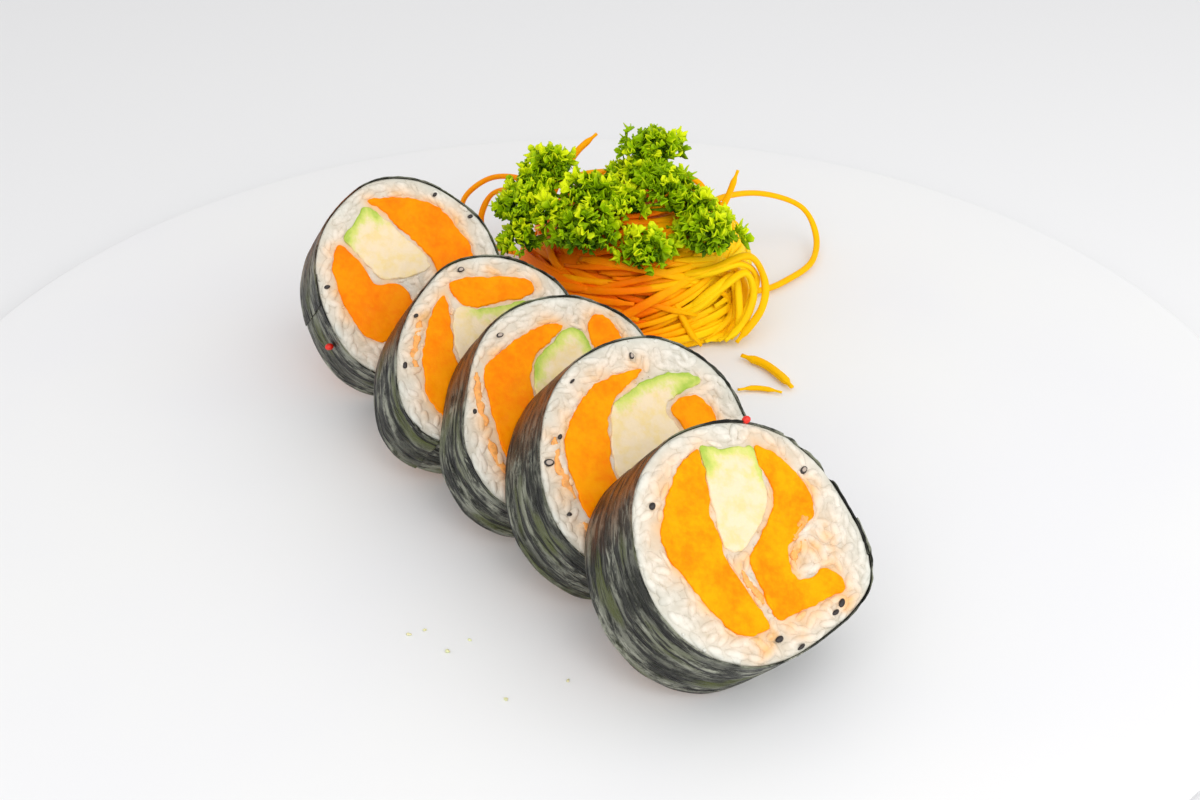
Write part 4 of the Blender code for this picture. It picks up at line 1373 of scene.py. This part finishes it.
@dataclass
class Parsley:
    """The sprig of curly parsley: clumps of ruffled leaflets on a forked stem, in millimetres."""

    fork: Triple = (8, 56, 38)
    clumps: dict[str, tuple[Triple, float]] = field(default_factory=lambda: {
        "top": ((17.5, 70, 49.5), 10.5), "under": ((20.5, 56, 44), 10), "crest": ((-11, 67, 44.5), 8.5),
        "neck": ((16, 63, 46.5), 6.5), "left": ((-18, 57, 37), 10), "middle": ((-0.5, 45, 35), 11),
        "inner": ((15.5, 41, 32), 8.5), "right": ((32.5, 46, 34.5), 10.5), "low_left": ((-19, 51, 31), 7),
        "near_left": ((-10.5, 53, 38), 7), "upper": ((1, 58, 41.5), 9.5),
        "between": ((10.5, 53.5, 40.5), 6.5), "far": ((9, 66, 43), 5.5), "high_right": ((27, 52, 41), 7),
        "slope": ((-15.5, 62, 42), 8)})
    leaflets: int = 84
    rows: int = 6
    columns: int = 22

    def fans(self, centre: Array, radius: float, chance: np.random.Generator) -> Surface:
        """The leaflets of one clump.

        A leaflet is a fan: its reach swells in lobes with the angle, and its height swings along the
        rim, more the further out. Each points away from the clump's centre.

        Args:
            centre: The clump's centre in millimetres.
            radius: The clump's radius in millimetres.
            chance: The random draws.

        Returns:
            The leaflets as one open surface.
        """
        rows, columns = self.rows, self.columns
        count = round(self.leaflets * (radius / 10) ** 2) + 12
        each = (count, 1, 1)
        out = np.linspace(0.05, 1, rows)[None, :, None]
        angle = np.linspace(-1.7, 1.7, columns)[None, None, :]
        size = chance.uniform(1.4, 3.0, each)
        phase = chance.uniform(0, 2 * math.pi, each)
        lobes = 1 + 0.30 * np.sin(5 * angle + phase) * out + 0.16 * np.sin(12 * angle + 2 * phase) * out ** 2
        reach = size * out * lobes
        swing = np.sin(chance.uniform(5, 8, each) * angle + phase * 3) * 0.42 * size * out ** 1.5
        curl = chance.uniform(-0.1, 0.5, each) * size * out ** 2
        x, y = reach * np.cos(angle * 0.9), reach * np.sin(angle * 0.9) * 0.9
        way = chance.normal(size=(count, 3))
        way[:, 2] = np.abs(way[:, 2]) * 0.9
        way = unit(way)
        side = unit(np.cross(way, chance.normal(size=(count, 3))))
        turn = np.stack([way, side, np.cross(way, side)], axis=-1)
        root = way * (radius * chance.uniform(0.1, 0.85, (count, 1)))
        points = np.einsum("nij,nrcj->nrci", turn, np.stack([x, y, swing + curl + 0 * x], axis=-1))
        points += root[:, None, None] + centre
        far = np.clip(np.linalg.norm(points - centre, axis=-1) / radius, 0, 1.3)
        height = np.clip((points[..., 2] - centre[2]) / radius, -1, 1)
        # Painted light: tone grows towards the lobes' outer tips and the clump's top, a painted highlight,
        # and falls in the inner folds, a painted shade; the sine term is the leaves' own variation
        tone = np.clip(0.6 * far ** 1.8 + 0.3 * height + 0.16 * np.sin(phase * 5), 0, 1)
        faces = repeated(grid_quads(rows, columns, False), count, rows * columns)
        return Surface(points.reshape(-1, 3) * MM, faces, {"tone": tone.ravel()})

    def stems(self, chance: np.random.Generator) -> Surface:
        """Stems from the fork to each clump, as round ribbons.

        Args:
            chance: The random draws.

        Returns:
            The stems.
        """
        parts = []
        for centre, _ in self.clumps.values():
            path = spline([self.fork, np.add(self.fork, centre) / 2, centre], 0.8)
            thin = np.full(len(path), 0.5 * MM)
            parts.append(ribbon(path, chance.normal(size=3), thin, thin))
            parts[-1].values["tone"] = np.full(len(parts[-1].points), 0.3)
        return Surface.joined(parts)

    def build(self, kitchen: Kitchen) -> None:
        """The leaves, given a thickness, and the stems.

        Args:
            kitchen: The finishes.
        """
        chance = np.random.default_rng(8)
        for name, (centre, radius) in self.clumps.items():
            leaves = self.fans(np.array(centre, float), radius, chance)
            item = leaves.piece(f"parsley_{name}", kitchen.parsley, "parsley")
            sheet = item.modifiers.new("thickness", "SOLIDIFY")
            sheet.thickness = 0.2 * MM
            sheet.offset = 0
        self.stems(chance).piece("parsley_stems", kitchen.parsley, "parsley", "parsley")


@dataclass
class Crumbs:
    """The few crumbs that lie on the plate in front of the rolls: millimetres from its centre."""

    places: Points = ((-16.6, -104.5), (-3.7, -98.8), (-25.1, -85.9), (-35.1, -82.6), (-29.7, -89.7),
                      (-38.5, -84.2))

    def build(self, kitchen: Kitchen) -> None:
        """Small uneven bodies of differing size.

        Args:
            kitchen: The finishes.
        """
        chance = np.random.default_rng(6)
        count = len(self.places)
        half = chance.uniform(0.3, 0.6, (count, 1)) * (1.2, 0.8, 0.6)
        spots = np.column_stack([self.places, PLATE_TOP / MM + half[:, 2]])
        made = blobs(spots * MM, half * MM, turns_about_z(chance.uniform(0, math.pi, count)))
        made.points[:, :2] += 0.12 * MM * waves(made.points / MM, 0.9, 4)[:, None]
        made.piece("crumbs", kitchen.crumb, "rice")


@dataclass
class Studio:
    """The pale floor, soft light and the photograph's camera."""

    camera_place: Triple = (3, -360, 246)
    elevation: float = 33.0
    lens: float = 50.0
    floor_reach: float = 4.0
    world: float = 0.72
    aim: Triple = (0, 0, 0.02)

    def link(self, name: str, data: bpy.types.ID) -> bpy.types.Object:
        """Make an object of a camera, lamp or mesh.

        Args:
            name: The object's name.
            data: What it shows.

        Returns:
            The object, in the scene.
        """
        item = bpy.data.objects.new(name, data)
        bpy.context.scene.collection.objects.link(item)
        return item

    def camera(self) -> None:
        """A camera that looks along +Y and down."""
        data = bpy.data.cameras.new("camera")
        data.lens = self.lens
        data.sensor_width = 36
        data.clip_start = 0.01
        item = self.link("camera", data)
        item.location = Vector(self.camera_place) * MM
        item.rotation_euler = (math.radians(90 - self.elevation), 0, 0)
        bpy.context.scene.camera = item

    def floor(self) -> None:
        """A wide pale sheet under the plate."""
        far = self.floor_reach
        mesh = bpy.data.meshes.new("floor")
        mesh.from_pydata([(-far, -far, 0), (far, -far, 0), (far, far, 0), (-far, far, 0)], [], [(0, 1, 2, 3)])
        paint = Paint("floor", {"Specular IOR Level": 0.12})
        glaze = GlazeFinish()
        mesh.materials.append(paint.done(paint.mix(paint.noise(3), glaze.white, glaze.cool), 0.55))
        self.link("floor", mesh)

    def lamp(self, name: str, place: Triple, size: float, power: float) -> None:
        """One large soft lamp aimed at the food.

        Args:
            name: The lamp's name.
            place: Where it hangs, in metres.
            size: Its disc's width in metres.
            power: Its power in watts.
        """
        data = bpy.data.lights.new(name, "AREA")
        data.shape = "DISK"
        data.size = size
        data.energy = power
        item = self.link(name, data)
        item.location = place
        item.rotation_mode = "QUATERNION"
        item.rotation_quaternion = (Vector(self.aim) - item.location).to_track_quat("-Z", "Y")

    def build(self) -> None:
        """Set up the camera, floor, lamps and world."""
        self.camera()
        self.floor()
        self.lamp("key", (0.48, -0.34, 0.5), 1.0, 2.3)
        self.lamp("front", (0.05, -0.72, 0.62), 1.3, 3.9)
        self.lamp("fill", (-0.55, -0.4, 0.45), 1.0, 0.25)
        world = bpy.data.worlds.new("studio")
        world.use_nodes = True
        back = world.node_tree.nodes["Background"].inputs
        back["Color"].default_value = (1, 1, 1, 1)
        back["Strength"].default_value = self.world
        scene = bpy.context.scene
        scene.world = world
        scene.view_settings.view_transform = "Standard"
        scene.view_settings.look = "None"


POTATO, AVOCADO = Filling.POTATO, Filling.AVOCADO


def slices() -> list[RollSlice]:
    """The five slices, nearest first.

    Returns:
        The slices, whose outlines run anticlockwise.
    """
    return [
        RollSlice(
            1, 33.8, -95.7, 37, 50, 23.5, 334,
            ((26, 0), (24.4, 9.5), (20, 18.2), (12, 24.4), (3, 27), (-6, 27), (-14, 24), (-20.5, 18.2),
             (-25, 9.5), (-26.7, 0), (-25.2, -8.5), (-20.5, -16), (-13, -21.4), (-4, -23.3), (6, -22.6),
             (15, -20.8), (22, -17), (25.8, -9)),
            (Strip("potato_1_left", POTATO,
                 ((-0.5, 22.5), (-5, 21.3), (-10, 18.5), (-15, 13.5), (-18.3, 8), (-17.5, 0), (-15, -10),
                  (-12, -14.5), (-8, -15.8), (-5.3, -14.5), (-6.5, -5), (-7, 0), (-6, 5), (-4.5, 11),
                  (-2, 17))),
             Strip("potato_1_right", POTATO,
                 ((12.5, 18.3), (16, 14.5), (18.5, 8), (18, 3), (16.5, 0), (12, -1), (8, -3), (5.8, -6),
                  (5.8, -9.5), (9, -10.5), (13, -10.3), (15.3, -13), (14.6, -16), (8, -15.9), (0, -15.7),
                  (-2.9, -14.6), (-3, -8), (-2, -2), (5, 2.5), (9.5, 6), (10.9, 10), (10.9, 15))),
             Strip("avocado_1", AVOCADO,
                 ((0.3, 22.8), (5, 20.5), (9, 19.6), (11.6, 17.6), (10, 11), (8, 6.5), (3, 3), (-3, 0),
                  (-6, 2.5), (-5, 8), (-3, 14), (-1.5, 19)),
                 ((-0.5, 19), (0.5, 22.6), (5, 21), (9.5, 20.4), (12, 17), (10.8, 12)))),
            (Seed(19.8, 9.5, 2.4, 1.5, 20), Seed(12.3, -18.1, 2.6, 1.5, 30, False),
             Seed(9.8, -19.2, 2.2, 1.2, 10, False), Seed(-5, -18.6, 2.2, 1.5, 0, False),
             Seed(-16.6, 15.8, 1.9, 1.6, 40, False), Seed(-1.4, -22.0, 2.4, 0.9, 10, False)),
            roe=((13.3, 24.0, -0.2, 1.0, 0.85, 0),),
            stripes=(((-5.2, -2.5), (-5.0, -6.5), (-4.2, -11)), ((9, -2.2), (12, -0.6), (15.5, 0.6)),
                     ((7, -6.5), (8.6, -4.2), (12, -3.6))),
            torn=(8, 42),
            stains=((13.5, -4.5, 3.4), (17.5, -6, 2.6), (-9.5, -18, 4), (1, -18.2, 3.5), (14, -19, 3)),
        ),
        RollSlice(
            2, 14.3, -62.4, 37, 48, 20, 250,
            ((27.3, 2), (26.6, 10), (22.8, 17.8), (15.7, 24.2), (7, 26.8), (-2, 26.8), (-10, 24.8),
             (-17.2, 20), (-22.8, 13.5), (-27, 5.5), (-28.8, -3), (-27, -12), (-21.7, -19.6), (-13, -24),
             (-3, -25.2), (8, -24.8), (18, -21.2), (25, -11)),
            (Strip("potato_2_left", POTATO,
                 ((8, 18.6), (2, 19.8), (-3, 19.5), (-8, 18), (-13, 15), (-17, 11), (-19.5, 5), (-20.5, -5),
                  (-18, -13), (-12, -16.5), (-8.6, -13.5), (-9.4, -7), (-10.3, 0), (-8.5, 5), (-6, 10),
                  (-3, 14), (3, 16.4))),
             Strip("potato_2_right", POTATO,
                 ((10, 8), (13, 9.2), (17, 9), (19, 7), (19.5, 2), (18, -6), (14, -12), (6, -15.3),
                  (-2, -15.2), (-4, -11), (2, -7), (8, -4), (11, 0), (10.6, 4))),
             Strip("avocado_2", AVOCADO,
                 ((-2.4, 13.8), (4, 15.4), (9, 16), (15, 15.2), (20, 13), (20, 10.6), (13, 10.4), (8.8, 8),
                  (9.2, 2), (5, -4), (-3, -6.5), (-9.4, -3), (-8.6, 3.6), (-5.4, 10)),
                 ((-1, 14.6), (6, 16), (14, 15.4), (20, 12.4), (14, 10.6)))),
            (Seed(-23.4, 7.5, 2.8, 1.9, -20), Seed(-18.4, 11.6, 1.4, 1.1, 30, False),
             Seed(-9.5, 21.8, 2.0, 0.7, 20, False), Seed(7, 22.2, 2.2, 1.5, 60),
             Seed(-24.6, -4.3, 1.6, 1.1, 0, False)),
            stripes=(((-19.6, 12), (-21.6, 5.5), (-21.8, -1.5)), ((-22.4, -7), (-20.8, -13), (-17.6, -17))),
            # A deeper orange copy of the potato finish: painted shade on a slice further back
            potato=PotatoFinish(srgb(253, 160, 0), srgb(250, 128, 0), "sweet_potato_2_painted_shade"),
        ),
        RollSlice(
            3, -4.9, -37.0, 37, 49, 16.4, 225,
            ((28.2, 3), (27.5, 10.5), (23.3, 17.2), (16.2, 23), (8, 25.6), (-1, 25.8), (-9, 23.5),
             (-16.2, 18.2), (-22.2, 10.6), (-27, 3), (-28.8, -4), (-27.7, -13), (-22.2, -20.2), (-13, -24.5),
             (-3, -25.5), (8, -24.7), (18, -20.7), (25.7, -10)),
            (Strip("potato_3_left", POTATO,
                 ((9, 17.4), (5, 19.2), (0, 19), (-10, 16.6), (-15, 14.3), (-16.6, 10), (-18, 4),
                  (-19.7, -2), (-19, -10), (-13, -15.6), (-8.4, -12.5), (-8, -4), (-7, 4), (-4, 10),
                  (-1, 13.2), (4, 15))),
             Strip("potato_3_right", POTATO,
                 ((14.6, 14), (17, 17), (20.5, 16), (22, 11), (20, 4), (16, -4), (10, -12), (2, -15.3),
                  (-3, -12.5), (2, -7.5), (9, -3), (14, 4), (14, 10))),
             Strip("avocado_3", AVOCADO,
                 ((8.8, 16.4), (12, 15.4), (13, 10), (12, 4), (6.5, -2.5), (-1, -6), (-6.6, -2), (-5.8, 5),
                  (-3, 10.5), (1, 13.2), (5, 14.6)),
                 ((-4, 8.6), (-1, 12.4), (4, 14.8), (9, 16.4), (12.4, 15), (13, 10)))),
            (Seed(-7.5, 20.4, 2.4, 1.5, 10), Seed(-22, 6, 1.6, 1.1, 60, False)),
            stripes=(((-17, 14.2), (-19.6, 8.5), (-21, 2)), ((-22, -1), (-22.2, -7), (-20, -13))),
            # A deeper orange copy of the potato finish: painted shade on a slice further back
            potato=PotatoFinish(srgb(251, 154, 0), srgb(248, 124, 0), "sweet_potato_3_painted_shade"),
        ),
        RollSlice(
            4, -23, -15, 36, 49, 19, 200,
            ((26.5, 2), (25.6, 10), (21.2, 16.7), (14.2, 22), (6, 24.4), (-2, 24), (-10, 20.2), (-17.2, 15),
             (-22.7, 8.6), (-26.3, 1.5), (-28, -6), (-26.2, -13.4), (-20.5, -19), (-12, -22.6), (-2, -23.6),
             (8, -22.6), (17.5, -19), (24.7, -10)),
            (Strip("potato_4_top", POTATO,
                 ((-2.4, 19.4), (3, 19.6), (8, 18), (13, 16.5), (17, 14.5), (18.5, 12), (16.5, 10),
                  (10, 10.5), (2, 11.5), (-2, 14))),
             Strip("potato_4_left", POTATO,
                 ((-5, 17), (-10, 14), (-15, 8), (-18, 3), (-20.5, -5), (-18, -13.5), (-12, -16.5),
                  (-8.6, -12), (-9.6, -4), (-9.4, 3), (-7, 9))),
             Strip("avocado_4", AVOCADO,
                 ((-6.5, 9.5), (-2.6, 12.8), (2, 10.8), (9, 9.8), (15, 8.6), (15.6, 2), (9, -5), (0, -8),
                  (-7.6, -5), (-8.6, 3)),
                 ((2, 11), (9, 10), (15.4, 8.6)))),
            (Seed(-22.6, 3.8, 2.0, 1.3, 60, False), Seed(-14.4, 14.4, 1.6, 1.2, 30, False),
             Seed(2, 21.8, 2.2, 1.5, 0)),
            stripes=(((-13.6, 13), (-17.2, 8.6), (-20.6, 2)),),
            # A deeper orange copy of the potato finish: painted shade on a slice further back
            potato=PotatoFinish(srgb(253, 156, 2), srgb(250, 128, 0), "sweet_potato_4_painted_shade"),
        ),
        RollSlice(
            5, -46.3, 15.5, 26, 42, 22, 170,
            ((25.2, 1), (23.6, 8.5), (19.2, 15.2), (12.2, 21.8), (4, 25), (-4, 24.8), (-12, 20.9),
             (-18.7, 14.8), (-23, 6.5), (-24.4, -3), (-23, -12), (-19.7, -19.7), (-13, -25.7), (-4, -27.5),
             (6, -26.5), (15, -22.5), (21.7, -14.7), (25, -7)),
            (Strip("potato_5_right", POTATO,
                 ((-4.6, 20), (0, 20.2), (5, 19), (10, 17), (14, 13), (17, 7), (18.5, 0), (17, -8),
                  (11, -13), (7.4, -8), (7.4, 0), (6, 4), (3, 9), (0, 13.6), (-2, 17))),
             Strip("potato_5_left", POTATO,
                 ((-14.8, 10.3), (-12.5, 7), (-10.3, 2), (-8.6, -1.8), (-3, -3), (-1, -8.5), (-6, -14.5),
                  (-12, -16.5), (-17, -10.5), (-18.7, 0), (-18.2, 5), (-16.7, 9))),
             Strip("avocado_5", AVOCADO,
                 ((-5.6, 18.6), (-8.4, 16.4), (-12.8, 12.8), (-13.2, 10.6), (-11, 6.6), (-8.8, 2),
                  (-6.6, -0.8), (-1, -1.6), (4, -1.4), (6.6, 0), (5, 4.4), (1.4, 9.6), (-1.6, 14.2)),
                 ((-13, 11), (-12.4, 13), (-8.4, 16.6), (-5.6, 19), (-3.6, 16)))),
            (Seed(13, 18, 1.6, 1.1, 30, False), Seed(20.6, 10.4, 1.6, 1.1, 0, False),
             Seed(-21.3, 0.3, 1.8, 1.2, 0, False)),
            roe=((-23.6, -13.5, -6, 1.1, 0.9, 0),),
            # A deeper orange copy of the potato finish: painted shade on a slice further back
            potato=PotatoFinish(srgb(253, 148, 0), srgb(250, 120, 0), "sweet_potato_5_painted_shade"),
        ),
    ]


def main() -> None:
    """Build the whole dish; each piece logs its count of faces."""
    logging.basicConfig(level=logging.INFO, format="%(message)s")
    Studio().build()
    kitchen = Kitchen()
    for piece in slices():
        piece.build(kitchen)
    CarrotNest().build(kitchen)
    Parsley().build(kitchen)
    Plate().build(kitchen)
    Crumbs().build(kitchen)


if __name__ == "__main__":
    main()
